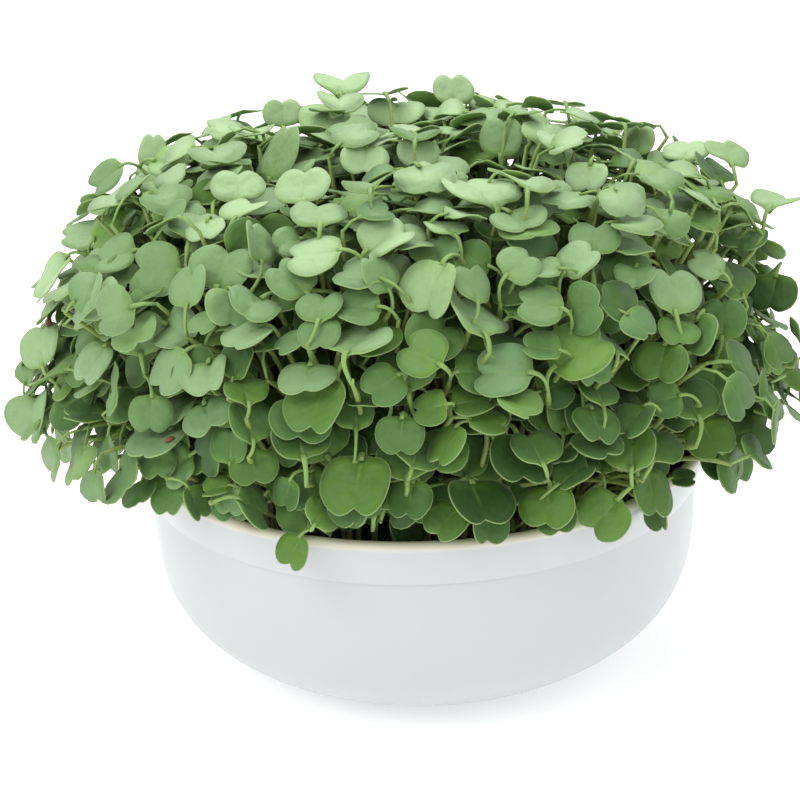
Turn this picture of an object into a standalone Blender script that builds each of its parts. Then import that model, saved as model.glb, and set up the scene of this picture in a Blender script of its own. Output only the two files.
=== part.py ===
# Arugula microgreens growing in a round white bowl.
#
# The bowl is one turned plastic shell with a rounded lip and a collar band. It holds a
# cake of growing medium, and the seedlings stand in it in tufts. Each seedling has a thin
# stem and a pair of broad, notched seed leaves on short stalks. The origin is the centre
# of the bowl's flat underside. +Z is up, and the view from the front looks along +Y.

import random
from math import asin
from math import cos
from math import pi
from math import radians
from math import sin
from math import sqrt

import bmesh
import bpy
from mathutils import Matrix
from mathutils import Vector
from mathutils.bvhtree import BVHTree

MM = 0.001
TURNED_STEPS = 40               # sides of the bowl and of the growing medium
MERGE = 0.00001

# Bowl
LIP_RADIUS = 75.0 * MM          # outside of the lip, where the bowl is widest
LIP_BULGE = 1.7 * MM            # height of the lip's rounding
LIP_WIDTH = 3.3 * MM
LIP_STEPS = 4
BOWL_HEIGHT = 61.0 * MM
BAND_FOOT_RADIUS = 71.7 * MM    # lower edge of the flared collar band
BAND_FOOT_HEIGHT = 49.0 * MM
BAND_STEP = 0.9 * MM            # how far the side is set in below the band
BAND_LEDGE = 0.5 * MM           # depth of the slope at that step
FOOT_RADIUS = 39.5 * MM         # flat underside
WALL = 2.6 * MM
FLOOR = 2.8 * MM
SIDE_FULLNESS = 1.9             # larger tucks the side in sooner towards the foot
SIDE_STEEPNESS = 0.5            # smaller keeps the side upright for longer
SIDE_SPACING = 1.25             # larger sets the side's rings closer near its top
OUTSIDE_RINGS = 6
INSIDE_RINGS = 3

# Growing medium
MEDIUM_TOP = 50.0 * MM
FIT_GAP = 0.4 * MM              # between pieces that touch in the real thing

# Canopy of seed leaves: the surface that the stems reach up to
TUFTS = 41
CANOPY_WIDTH_RADIUS = 88.0 * MM
CANOPY_DEPTH_RADIUS = 80.0 * MM
CANOPY_SHIFT = -2.0 * MM        # along X: the greens lean a little to the left
CANOPY_WAIST = 68.0 * MM        # height at which it is widest
CANOPY_RISE = 67.0 * MM         # from the waist to the crown
CANOPY_FALL = 8.0 * MM          # how far the skirt hangs below the waist
CANOPY_TUCK = 0.985             # the skirt's lower edge, as a share of the waist
CANOPY_FLATNESS = 3.2           # 2 is an ellipsoid, and larger has a flatter top
CANOPY_STEPS = 80
CANOPY_LIMIT = 1.22             # fullness that the leaves placed at random stay within
GOLDEN_TURN = pi * (3 - sqrt(5))

# Seedlings
ROOT_FIELD = 62.0 * MM          # radius of the sown area
TUFT_SIZE = 3                   # seedlings that share one root crown
TUFT_SPREAD = 9.5 * MM          # of their heads round the tuft's place in the canopy
CROWN_RADIUS = 3.5 * MM         # tapered root crown that joins the stems of one tuft
CROWN_DEPTH = 8.0 * MM
CROWN_RAISE = 0.4 * MM          # how far the crown stands above the medium
CROWN_SIDES = 6
HOLE_RAISE = 3.0 * MM           # how far the tool that cuts a crown's hole stands above
STEM_SPREAD = 1.9 * MM          # of the stems round the middle of the crown
STEM_SINK = 0.9 * MM            # how far a stem runs down into the crown
STEM_RADIUS = 0.8 * MM
STEM_FLARE = 1.3                # widening at the head, where the leaves leave the stem
STEM_RISE = 0.42                # how long a stem keeps upright, as a share of its reach
STEM_BEND = 0.3                 # how early it turns towards its head
STEM_TOP_RISE = radians(15)     # how steeply a stem arrives where the canopy is upright
STEM_TOP_SHARE = 0.8            # how much of the canopy's own slope it adds to that
STEM_BOW = radians(24)          # how steeply it bows down at the skirt
STEM_BOW_TOP = 92.0 * MM        # height below which stems start to bow
STEM_BOW_DEPTH = 30.0 * MM      # how much lower they bow in full
STEM_RISE_SPREAD = 16           # degrees
STEM_TURN_SPREAD = 25           # degrees
STEM_SPACING = 1.5              # larger sets the stem's rings closer near its head
STEM_FLARE_POWER = 6            # larger keeps the flare nearer to the head
STEM_PROBE = 0.02               # half the stretch of a stem whose direction is taken
STEM_SIDES = 3
STEM_CUTS = 2
LEAF_WIDTH = (12.0 * MM, 16.5 * MM)
LEAF_THICKNESS = 1.0 * MM       # at the heart of the leaf, which thins to its edge
WIDTH_TO_LENGTH = 1.32
LENGTH_SPREAD = (0.92, 1.1)
LEAF_CUP = (-0.04, 0.2)         # how far the sides of a leaf rise, as a share of its width
LEAF_SAG = (0.0, 0.16)          # how far its tip hangs, as a share of its length
STALK_LIFT = (18, 48)           # degrees above the plane of the pair
BLADE_PITCH = (-22, 14)         # degrees from that plane, along the leaf
BLADE_ROLL = (-14, 14)          # degrees from that plane, across the leaf
STALK_LENGTH = (4.0 * MM, 8.0 * MM)
STALK_WIDTH = (1.6 * MM, 0.9 * MM)      # at the blade and at the stem
STALK_THICKNESS = 0.8 * MM
CLEARANCE = 0.8 * MM            # added to thickness and stems when room is looked for
TRIES = 150
LONE_TRIES = 250                # more tries, for a seedling with only its seen leaves
LEAN_OUT = 1.3                  # how much further out a head stands than its root
ROOT_CHOICES = 4                # nearest tufts that a stem may come from
HEAD_DRIFT = 4.0 * MM
HEAD_DEPTH = 12.0 * MM          # of the heads below the canopy's surface
PAIR_RISE = radians(34)         # how far a pair faces up where the canopy is upright
PAIR_SHARE = 0.62               # how much of the canopy's own slope it adds to that
LEAF_WOBBLE = 0.3
FREE_YAW = 14                   # degrees that a leaf turns from the line of its pair
OTHER_YAW = 50                  # the same where the first leaf of the pair is a seen one

# Half outline of a seed leaf, from its notch round to its stalk: along as a share of the
# length from the base, and across as a share of the width
LEAF_OUTLINE = ((0.79, 0.0), (1.0, 0.26), (0.53, 0.5), (0.07, 0.31))
LEAF_HEART = 0.48               # where along the leaf its centre point lies

# Front view in which the leaves below are marked: 800 pixels wide and high
VIEW_TARGET = Vector((-5.4, 0.0, 66.8)) * MM
VIEW_DISTANCE = 622.7 * MM
VIEW_HEIGHT = radians(22.2)     # of the eye above the horizon
VIEW_ROLL = radians(2.04)       # the right side stands a little higher
VIEW_FOCUS = 2400.0             # focal length, in pixels
VIEW_MIDDLE = 400.0
SEEN_RATIO = (1.2, 1.45)        # of width to length, in the seen leaves
SEEN_CUP = (0.0, 0.16)
SEEN_SAG = (0.0, 0.1)
SEEN_BEND = (15, 75)            # degrees between a stalk and its blade
SEEN_TURN = 30                  # degrees that a stalk turns from its blade's middle line
SEEN_TILT = (-20, 10)           # degrees between the planes of a pair's two leaves
PAIR_DEPTH = 5.0 * MM           # how far a pair's head may stand behind its blades' feet
SEEN_PUSH = 1.0 * MM            # step by which a leaf is set behind those in front of it
SEEN_PUSHES = 16


def seen(foot, notch, left, right):
    """Marks of one seed leaf in the front view: its blade's foot, notch and shoulders."""
    return {"foot": foot, "notch": notch, "left": left, "right": right}


# The seedlings that show best from the front, the nearest first, each with one or both of
# its leaves. A pair has the place of its head too.
SEEN_PAIRS = (
    ((548, 392), seen((553, 367), (595, 340), (556, 325), (592, 369)),
        seen((531, 372), (486, 372), (508, 340), (500, 393))),
    ((547, 480), seen((550, 487), (545, 519), (521, 503), (577, 505)),
        seen((543, 463), (530, 438), (510, 451), (559, 443))),
    ((450, 380), seen((440, 364), (411, 347), (438, 331), (407, 375)),
        seen((457, 371), (490, 372), (470, 347), (478, 395))),
    ((312, 529), seen((315, 524), (326, 507), (300, 511), (331, 537)),
        seen((300, 536), (289, 561), (275, 546), (304, 563))),
    ((450, 410), seen((446, 404), (420, 410), (432, 390), (436, 426)),
        seen((453, 403), (486, 400), (465, 385), (470, 416))),
)
SEEN_LEAVES = (
    seen((361, 457), (353, 503), (318, 489), (389, 491)),
    seen((325, 381), (310, 421), (288, 403), (346, 407)),
    seen((346, 351), (368, 331), (331, 339), (390, 344)),
    seen((399, 374), (374, 391), (370, 365), (400, 401)),
    seen((631, 468), (632, 435), (610, 450), (662, 445)),
    seen((648, 469), (656, 507), (637, 487), (678, 490)),
    seen((701, 421), (717, 449), (688, 443), (734, 422)),
    seen((700, 417), (684, 387), (667, 400), (718, 390)),
    seen((402, 417), (400, 447), (375, 435), (425, 437)),
    seen((413, 481), (407, 511), (390, 497), (435, 502)),
    seen((472, 481), (485, 516), (449, 500), (514, 499)),
    seen((458, 507), (438, 529), (430, 513), (466, 536)),
    seen((252, 452), (255, 478), (229, 470), (279, 463)),
    seen((204, 403), (210, 423), (183, 427), (232, 399)),
    seen((184, 352), (161, 382), (156, 356), (182, 381)),
    seen((208, 361), (207, 385), (184, 378), (230, 360)),
    seen((152, 396), (150, 425), (127, 411), (172, 413)),
    seen((172, 428), (145, 451), (129, 438), (172, 444)),
    seen((33, 393), (29, 424), (7, 414), (50, 402)),
    seen((105, 345), (85, 374), (75, 352), (105, 366)),
    seen((179, 270), (143, 268), (158, 241), (155, 297)),
    seen((186, 306), (192, 273), (167, 285), (199, 280)),
    seen((134, 250), (103, 258), (115, 232), (112, 271)),
    seen((106, 233), (70, 236), (88, 222), (86, 250)),
    seen((216, 287), (226, 253), (190, 263), (251, 272)),
    seen((263, 297), (247, 310), (234, 292), (280, 320)),
    seen((340, 249), (298, 256), (318, 230), (312, 263)),
    seen((307, 292), (281, 270), (311, 260), (275, 288)),
    seen((366, 250), (399, 229), (372, 216), (402, 243)),
    seen((443, 262), (424, 303), (414, 275), (460, 288)),
    seen((486, 333), (464, 297), (449, 305), (503, 318)),
    seen((564, 273), (587, 251), (562, 252), (588, 275)),
    seen((593, 253), (596, 229), (570, 238), (623, 243)),
    seen((562, 308), (527, 302), (545, 280), (541, 320)),
    seen((676, 312), (671, 278), (650, 289), (701, 294)),
    seen((722, 272), (697, 259), (717, 247), (703, 272)),
    seen((676, 320), (680, 339), (654, 322), (697, 325)),
    seen((665, 343), (658, 374), (636, 358), (690, 364)),
    seen((722, 338), (723, 306), (700, 320), (749, 320)),
    seen((592, 407), (600, 434), (575, 417), (618, 423)),
    seen((509, 211), (525, 224), (490, 226), (542, 213)),
    seen((207, 221), (205, 236), (185, 237), (224, 228)),
    seen((235, 217), (249, 202), (225, 212), (270, 212)),
    seen((506, 275), (527, 257), (500, 248), (532, 276)),
    seen((776, 275), (770, 304), (750, 290), (798, 292)),
    seen((770, 206), (785, 196), (748, 199), (800, 205)),
    seen((732, 164), (724, 144), (710, 147), (752, 156)),
    seen((722, 182), (706, 161), (692, 166), (726, 172)),
    seen((496, 204), (470, 180), (452, 189), (520, 190)),
    seen((590, 163), (586, 186), (565, 176), (608, 178)),
    seen((418, 140), (418, 160), (396, 152), (439, 154)),
    seen((366, 146), (364, 169), (342, 158), (391, 160)),
    seen((395, 99), (397, 117), (368, 108), (425, 111)),
    seen((121, 165), (98, 185), (100, 166), (115, 190)),
    seen((150, 165), (152, 140), (139, 148), (166, 150)),
    seen((283, 126), (282, 104), (262, 116), (302, 114)),
    seen((340, 92), (343, 76), (315, 77), (372, 79)),
    seen((300, 203), (305, 176), (277, 190), (333, 186)),
    seen((238, 200), (238, 176), (210, 190), (265, 186)),
    seen((268, 180), (285, 136), (262, 152), (298, 158)),
    seen((500, 155), (503, 125), (482, 140), (525, 142)),
    seen((636, 155), (640, 131), (620, 142), (650, 145)),
    seen((684, 160), (688, 143), (660, 152), (708, 152)),
    seen((42, 366), (40, 332), (18, 352), (52, 338)),
    seen((66, 256), (42, 292), (45, 272), (58, 290)),
    seen((455, 104), (452, 80), (432, 92), (474, 92)),
)

BOWL_WHITE = (0.86, 0.87, 0.87)
BOWL_ROUGHNESS = 0.35
MEDIUM_BROWN = (0.055, 0.032, 0.018)
MEDIUM_ROUGHNESS = 0.95
LEAF_GREEN = (0.13, 0.27, 0.07)
LEAF_ROUGHNESS = 0.6


def clear_scene():
    for item in list(bpy.data.objects):
        bpy.data.objects.remove(item, do_unlink=True)


def make_collection(name):
    collection = bpy.data.collections.new(name)
    bpy.context.scene.collection.children.link(collection)
    return collection


def make_material(name, colour, roughness):
    material = bpy.data.materials.new(name)
    material.use_nodes = True
    shader = material.node_tree.nodes["Principled BSDF"]
    shader.inputs["Base Color"].default_value = (*colour, 1.0)
    shader.inputs["Roughness"].default_value = roughness
    shader.inputs["Metallic"].default_value = 0.0
    return material


def mesh_object(name, bm, collection, material=None):
    mesh = bpy.data.meshes.new(name)
    bm.to_mesh(mesh)
    bm.free()
    made = bpy.data.objects.new(name, mesh)
    collection.objects.link(made)
    if material is not None:
        mesh.materials.append(material)
    return made


def face_outward(bm):
    """Turn a closed mesh right side out, judged by its volume's sign."""
    if bm.calc_volume(signed=True) < 0:
        bmesh.ops.reverse_faces(bm, faces=bm.faces)
    return bm


# Turned pieces


def turned(name, profile, collection, material):
    """Turn a profile of (radius, height) about Z, given from the inside over to the outside."""
    bm = bmesh.new()
    points = [bm.verts.new((radius, 0.0, height)) for radius, height in profile]
    for first, second in zip(points, points[1:]):
        bm.edges.new((first, second))
    made = mesh_object(name, bm, collection, material)
    screw = made.modifiers.new("Turn", "SCREW")
    screw.steps = TURNED_STEPS
    screw.render_steps = TURNED_STEPS
    screw.use_merge_vertices = True
    screw.merge_threshold = MERGE
    screw.use_smooth_shade = True
    return made


def side_curve(radius, foot, floor, top, steps):
    """Side of the bowl from its top down to its foot: steep, then rounding under."""
    points = []
    for i in range(steps + 1):
        a = pi / 2 * (i / steps) ** SIDE_SPACING
        across = foot + (radius - foot) * cos(a) ** SIDE_FULLNESS
        points.append((across, floor + (top - floor) * (1 - sin(a) ** SIDE_STEEPNESS)))
    return points


def inner_side(gap):
    """Inside of the bowl's wall below the band, drawn in by a gap."""
    radius = BAND_FOOT_RADIUS - BAND_STEP - WALL - gap
    foot = FOOT_RADIUS - WALL - gap
    return side_curve(radius, foot, FLOOR + gap, BAND_FOOT_HEIGHT, INSIDE_RINGS)


def make_bowl(collection, material):
    inner = inner_side(0.0)
    middle = LIP_RADIUS - LIP_WIDTH / 2
    lip = []
    for i in range(LIP_STEPS + 1):
        a = pi * (1 - i / LIP_STEPS)
        lip.append((middle + cos(a) * LIP_WIDTH / 2, BOWL_HEIGHT - LIP_BULGE * (1 - sin(a))))
    band = [(BAND_FOOT_RADIUS, BAND_FOOT_HEIGHT)]
    side_top = BAND_FOOT_HEIGHT - BAND_LEDGE
    side_radius = BAND_FOOT_RADIUS - BAND_STEP
    outer = side_curve(side_radius, FOOT_RADIUS, 0.0, side_top, OUTSIDE_RINGS)
    profile = [(0.0, FLOOR), *reversed(inner), *lip, *band, *outer, (0.0, 0.0)]
    return turned("bowl", profile, collection, material)


def crown_cone(place, margin, above):
    """Tapered root crown at a place in the medium, point down, made larger by a margin."""
    slope = CROWN_RADIUS / CROWN_DEPTH
    depth = CROWN_DEPTH + margin * sqrt(1 + slope ** 2) / slope
    bm = bmesh.new()
    bmesh.ops.create_cone(
        bm,
        cap_ends=True,
        segments=CROWN_SIDES,
        radius1=0.0,
        radius2=(depth + above) * slope,
        depth=depth + above,
    )
    bmesh.ops.remove_doubles(bm, verts=bm.verts, dist=MERGE)
    bmesh.ops.translate(bm, verts=bm.verts, vec=place + Vector((0, 0, (above - depth) / 2)))
    return bm


def make_medium(collection, cutters, material, places):
    """Cake of growing medium that fills the bowl, with a plain hole for each root crown."""
    wall = inner_side(FIT_GAP)
    profile = [(0.0, MEDIUM_TOP), (wall[0][0], MEDIUM_TOP), *wall, (0.0, FLOOR + FIT_GAP)]
    medium = turned("growing_medium", profile, collection, material)
    holes = bmesh.new()
    for place in places:
        hole = crown_cone(place, FIT_GAP, HOLE_RAISE)
        loose = bpy.data.meshes.new("hole")
        hole.to_mesh(loose)
        hole.free()
        holes.from_mesh(loose)
        bpy.data.meshes.remove(loose)
    cutter = mesh_object("root_holes", holes, cutters)
    cutter.hide_render = True
    cutter.display_type = "WIRE"
    cut = medium.modifiers.new("Root holes", "BOOLEAN")
    cut.operation = "DIFFERENCE"
    cut.object = cutter


# Canopy


def canopy_table():
    """Radius and height down the canopy, with the share of its area above each."""
    power = 2 / CANOPY_FLATNESS
    line = []
    for i in range(CANOPY_STEPS + 1):
        a = pi / 2 * i / CANOPY_STEPS
        line.append((sin(a) ** power, cos(a) ** power * CANOPY_RISE + CANOPY_WAIST))
    line.append((CANOPY_TUCK, CANOPY_WAIST - CANOPY_FALL))
    mean_radius = (CANOPY_WIDTH_RADIUS + CANOPY_DEPTH_RADIUS) / 2
    table = [(0.0, *line[0])]
    area = 0.0
    for (r0, z0), (r1, z1) in zip(line, line[1:]):
        area += (r0 + r1) * sqrt(((r1 - r0) * mean_radius) ** 2 + (z1 - z0) ** 2)
        table.append((area, r1, z1))
    return [(done / area, r, z) for done, r, z in table]


def canopy_place(table, share, turn):
    """Point on the canopy that has a share of its area above it, and the way it faces."""
    for (s0, r0, z0), (s1, r1, z1) in zip(table, table[1:]):
        if share <= s1:
            break
    t = (share - s0) / (s1 - s0)
    r = r0 + (r1 - r0) * t
    z = z0 + (z1 - z0) * t
    point = Vector((
        cos(turn) * r * CANOPY_WIDTH_RADIUS + CANOPY_SHIFT,
        sin(turn) * r * CANOPY_DEPTH_RADIUS,
        z,
    ))
    return point, *canopy_facing(point)


def canopy_facing(point):
    """Way that the canopy faces near a point, and the level way out from its axis."""
    across = Vector((
        (point.x - CANOPY_SHIFT) / CANOPY_WIDTH_RADIUS,
        point.y / CANOPY_DEPTH_RADIUS,
        0.0,
    ))
    height = max(0.0, (point.z - CANOPY_WAIST) / CANOPY_RISE)
    out = across.normalized()
    slope = out * min(1.0, across.length) ** (CANOPY_FLATNESS - 1)
    slope *= CANOPY_RISE / CANOPY_WIDTH_RADIUS
    slope.z = min(1.0, height) ** (CANOPY_FLATNESS - 1)
    return slope.normalized(), out


def canopy_fullness(point):
    """1 on the canopy, less inside it and more outside."""
    across = Vector((
        (point.x - CANOPY_SHIFT) / CANOPY_WIDTH_RADIUS,
        point.y / CANOPY_DEPTH_RADIUS,
    ))
    height = max(0.0, (point.z - CANOPY_WAIST) / CANOPY_RISE)
    return across.length ** CANOPY_FLATNESS + height ** CANOPY_FLATNESS


# Seed leaves


def leaf_point(leaf, along, across):
    """Place on a leaf's middle surface. Along is negative on the stalk, across is in metres."""
    if along < 0:
        middle = leaf["foot"].lerp(leaf["start"], -along / leaf["stalk"])
        return middle + leaf["side"] * across
    share = along / leaf["length"]
    spread = across / (leaf["width"] / 2)
    rise = leaf["cup"] * spread ** 2 * leaf["width"] / 2
    rise -= leaf["sag"] * share ** 2 * leaf["length"]
    flat = leaf["foot"] + leaf["ahead"] * along + leaf["side"] * across
    return flat + leaf["normal"] * rise


def leaf_mesh(leaf, extra):
    """Seed leaf with its stalk: a fan of triangles, bent, and thick along its middle."""
    outline = [(a * leaf["length"], c * leaf["width"]) for a, c in LEAF_OUTLINE]
    outline.append((0.0, STALK_WIDTH[0] / 2))
    outline.append((-leaf["stalk"], STALK_WIDTH[1] / 2))
    ring = outline + [(a, -c) for a, c in reversed(outline[1:])]
    bm = bmesh.new()
    bmesh.ops.create_circle(bm, cap_ends=True, cap_tris=True, segments=len(ring), radius=1.0)
    rim = [v for v in bm.verts if v.co.length > 0.5]
    heart = [v for v in bm.verts if v.co.length <= 0.5][0]
    for vert, (a, c) in zip(rim, ring):
        vert.co = leaf_point(leaf, a, c)
    heart.co = leaf_point(leaf, leaf["length"] * LEAF_HEART, 0.0)
    bm.normal_update()
    thickness = {vert: extra for vert in rim}
    thickness[heart] = LEAF_THICKNESS + extra
    for foot in (rim[len(outline) - 1], rim[len(outline)]):
        thickness[foot] = STALK_THICKNESS + extra
    halves = {tuple(v.co): v.normal * size / 2 for v, size in thickness.items()}
    raised = bmesh.ops.extrude_face_region(bm, geom=bm.faces)["geom"]
    raised = {item for item in raised if isinstance(item, bmesh.types.BMVert)}
    for vert in bm.verts:
        half = halves[tuple(vert.co)]
        vert.co += half if vert in raised else -half
    bmesh.ops.remove_doubles(bm, verts=bm.verts, dist=MERGE)
    return face_outward(bm)


def start_stalk(leaf, head):
    """Join a placed blade to its stem's head."""
    leaf["start"] = head
    leaf["stalk"] = (leaf["foot"] - head).length


def random_leaf(rng, head, frame, freedom):
    """Seed leaf that leaves a head along the frame's first axis, within a freedom of turn."""
    width = rng.uniform(*LEAF_WIDTH)
    stalk = rng.uniform(*STALK_LENGTH)
    lift = radians(rng.uniform(*STALK_LIFT))
    pitch = radians(rng.uniform(*BLADE_PITCH))
    roll = radians(rng.uniform(*BLADE_ROLL))
    yaw = Matrix.Rotation(radians(rng.uniform(-freedom, freedom)), 3, "Z")
    turned_frame = frame @ yaw
    ahead = turned_frame @ Vector((cos(pitch), 0, sin(pitch)))
    side = turned_frame @ Vector((0, 1, 0))
    side = Matrix.Rotation(roll, 3, ahead) @ side
    leaf = {
        "foot": head + turned_frame @ Vector((cos(lift), 0, sin(lift))) * stalk,
        "ahead": ahead,
        "side": side,
        "normal": ahead.cross(side),
        "width": width,
        "length": width / WIDTH_TO_LENGTH * rng.uniform(*LENGTH_SPREAD),
        "cup": rng.uniform(*LEAF_CUP),
        "sag": rng.uniform(*LEAF_SAG),
    }
    start_stalk(leaf, head)
    return leaf


# Stems


def stem_point(plant, t):
    """Point at t up the stem: upright at 0, at the head at 1, and straight on beyond it."""
    root = plant["root"]
    head = plant["head"]
    arrive = plant["arrive"]
    reach = (head - root).length
    if t > 1:
        return head + arrive * reach * (t - 1)
    start = root + Vector((0, 0, reach * STEM_RISE))
    end = head - arrive * reach * STEM_BEND
    u = 1 - t
    return root * u ** 3 + start * 3 * u * u * t + end * 3 * u * t * t + head * t ** 3


def stem_mesh(plant, radius):
    """Three-sided stem: a thin prism bent along its path, with its end past the leaves' foot."""
    bm = bmesh.new()
    bmesh.ops.create_cone(
        bm, cap_ends=True, segments=STEM_SIDES, radius1=1.0, radius2=1.0, depth=1.0
    )
    upright = [e for e in bm.edges if abs(e.verts[0].co.z - e.verts[1].co.z) > 0.5]
    bmesh.ops.subdivide_edges(bm, edges=upright, cuts=STEM_CUTS, use_grid_fill=True)
    rise = plant["head"] - plant["root"]
    side = rise.cross(Vector((0, 0, 1))).normalized()
    for vert in bm.verts:
        t = 1 - max(0.0, 0.5 - vert.co.z) ** STEM_SPACING
        t *= 1 + STEM_RADIUS / rise.length
        ahead = stem_point(plant, t + STEM_PROBE) - stem_point(plant, t - STEM_PROBE)
        ahead.normalize()
        front = ahead.cross(side).normalized()
        across = front.cross(ahead) * vert.co.x + front * vert.co.y
        width = radius * (1.0 + (STEM_FLARE - 1.0) * t ** STEM_FLARE_POWER)
        vert.co = stem_point(plant, t) + across * width
    return face_outward(bm)


def stem_arrival(rng, head):
    """Way that a stem points at its head: out and up on top, and bowed down at the skirt."""
    facing, out = canopy_facing(head)
    slope = asin(max(-1.0, min(1.0, facing.z)))
    low = max(0.0, min(1.0, (STEM_BOW_TOP - head.z) / STEM_BOW_DEPTH))
    rise = (slope * STEM_TOP_SHARE + STEM_TOP_RISE) * (1 - low) - STEM_BOW * low
    rise += radians(rng.uniform(-STEM_RISE_SPREAD, STEM_RISE_SPREAD))
    sway = radians(rng.uniform(-STEM_TURN_SPREAD, STEM_TURN_SPREAD))
    turn = Matrix.Rotation(sway, 3, "Z")
    return (turn @ (out * cos(rise) + Vector((0, 0, sin(rise))))).normalized()


# Seen leaves


def view_axes():
    """Eye of the front view, with its ways right, up and back."""
    back = Vector((0, -cos(VIEW_HEIGHT), sin(VIEW_HEIGHT)))
    across = Vector((1, 0, 0))
    up = back.cross(across)
    right = across * cos(VIEW_ROLL) - up * sin(VIEW_ROLL)
    return VIEW_TARGET + back * VIEW_DISTANCE, right, back.cross(right), back


EYE, VIEW_RIGHT, VIEW_UP, VIEW_BACK = view_axes()


def view_ray(mark):
    """Way from the eye through a pixel of the front view."""
    across = VIEW_RIGHT * (mark[0] - VIEW_MIDDLE) - VIEW_UP * (mark[1] - VIEW_MIDDLE)
    return (across - VIEW_BACK * VIEW_FOCUS).normalized()


def canopy_distance(ray):
    """Distance from the eye to the canopy along a ray, or to where it passes nearest."""
    steps = int(2 * CANOPY_WIDTH_RADIUS / SEEN_PUSH)
    nearest = VIEW_DISTANCE - steps * SEEN_PUSH
    distances = [nearest + i * SEEN_PUSH for i in range(2 * steps)]
    fullness = [canopy_fullness(EYE + ray * distance) for distance in distances]
    for distance, full in zip(distances, fullness):
        if full <= 1:
            return distance
    return distances[fullness.index(min(fullness))]


def marks_middle(marks):
    """Pixel halfway between a leaf's foot and its notch."""
    return [(a + b) / 2 for a, b in zip(marks["foot"], marks["notch"])]


def seen_blade(marks, distance, curl):
    """Blade whose four marks fall on their pixels, at a distance from the eye.

    The blade is as wide for its length as seed leaves are, so its marks also give how it
    leans. Of the two ways to lean, the one that faces up more is taken.
    """
    ray = view_ray(marks_middle(marks))
    flat = {}
    for name, mark in marks.items():
        away = view_ray(mark)
        flat[name] = EYE + away * (distance / away.dot(ray))
    ahead = (flat["notch"] - flat["foot"]) / LEAF_OUTLINE[0][0]
    side = flat["right"] - flat["left"]
    ratio = max(SEEN_RATIO[0], min(SEEN_RATIO[1], side.length / ahead.length))
    skew = ahead.dot(side)
    spare = ratio ** 2 * ahead.length_squared - side.length_squared
    lean = (sqrt(spare ** 2 + (2 * ratio * skew) ** 2) - spare) / (2 * ratio ** 2)
    lean = sqrt(max(lean, 0.0))
    roll = -skew / lean if lean > MERGE else sqrt(max(spare, 0.0))
    best = None
    for sign in (1, -1):
        leant = (ahead - ray * lean * sign).normalized()
        across = side - ray * roll * sign
        across = (across - leant * across.dot(leant)).normalized()
        normal = leant.cross(across)
        if normal.dot(ray) > 0:
            across = -across
            normal = -normal
        if best is None or normal.z > best["normal"].z:
            best = {"ahead": leant, "side": across, "normal": normal}
    length = sqrt(ahead.length_squared + lean ** 2)
    middle = EYE + ray * distance
    best["length"] = length
    best["width"] = length * ratio
    best["foot"] = middle - best["ahead"] * length * LEAF_OUTLINE[0][0] / 2
    best["cup"], best["sag"] = curl
    start_stalk(best, best["foot"] - best["ahead"] * STALK_WIDTH[0])
    return best


# Tufts


def sown_tufts():
    """Tufts of the sown area. Each has a root crown and a spot on it for each stem."""
    tufts = []
    for number in range(TUFTS):
        share = (number + 0.5) / TUFTS
        turn = number * GOLDEN_TURN
        out = Vector((cos(turn), sin(turn), 0.0))
        crown = out * ROOT_FIELD * sqrt(share) + Vector((0, 0, MEDIUM_TOP))
        free = []
        for member in range(TUFT_SIZE):
            around = Matrix.Rotation(member * 2 * pi / TUFT_SIZE, 3, "Z") @ out
            free.append(crown + around * STEM_SPREAD - Vector((0, 0, STEM_SINK)))
        tufts.append({"share": share, "turn": turn, "crown": crown, "free": free, "plants": []})
    return tufts


def root_choice(rng, tufts, head):
    """A tuft with room whose stems would lean out to a head, and a spot on its crown."""
    def miss(tuft):
        return (tuft["crown"].xy * LEAN_OUT - head.xy).length

    tuft = rng.choice(sorted((t for t in tufts if t["free"]), key=miss)[:ROOT_CHOICES])
    return tuft, rng.choice(tuft["free"])


def search_tree(bm):
    tree = BVHTree.FromBMesh(bm)
    bm.free()
    return tree


def crosses(trees, others):
    return any(tree.overlap(other) for tree in trees for other in others)


def edge_points(leaf):
    """Points round a leaf's edge, from its notch to its shoulders."""
    shares = LEAF_OUTLINE[:3] + tuple((a, -c) for a, c in LEAF_OUTLINE[1:3])
    return [leaf_point(leaf, a * leaf["length"], c * leaf["width"]) for a, c in shares]


def hides_seen(leaf, blades):
    """Whether a leaf stands before a seen one in the front view."""
    for point in edge_points(leaf):
        away = (point - EYE).normalized()
        if any(tree.ray_cast(point, away)[0] for tree in blades):
            return True
    return False


def stands_out(leaf):
    """Whether a leaf reaches out beyond the canopy."""
    return any(canopy_fullness(point) > CANOPY_LIMIT for point in edge_points(leaf))


def seedling_trees(plant):
    """Search trees of a seedling's stem and leaves, made larger by the clearance."""
    trees = [search_tree(stem_mesh(plant, STEM_RADIUS + CLEARANCE / 2))]
    trees += [search_tree(leaf_mesh(leaf, CLEARANCE)) for leaf in plant["leaves"]]
    return trees


def place_seen(grown):
    """Blades of the seen leaves, each set back from the eye until it clears those before it."""
    groups = [(head, pair) for head, *pair in SEEN_PAIRS]
    groups += [(None, [marks]) for marks in SEEN_LEAVES]
    plants = []
    for number, (mark, group) in enumerate(groups):
        rng = random.Random(number)
        plant = {"mark": mark, "rng": rng, "leaves": [], "blades": []}
        for marks in group:
            distance = canopy_distance(view_ray(marks_middle(marks)))
            curl = (rng.uniform(*SEEN_CUP), rng.uniform(*SEEN_SAG))
            for push in range(SEEN_PUSHES):
                leaf = seen_blade(marks, distance + push * SEEN_PUSH, curl)
                tree = search_tree(leaf_mesh(leaf, CLEARANCE))
                if not crosses([tree], grown):
                    plant["leaves"].append(leaf)
                    plant["blades"].append(tree)
                    break
        if len(plant["leaves"]) == len(group):
            grown.extend(plant["blades"])
            plants.append(plant)
    return plants


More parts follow.
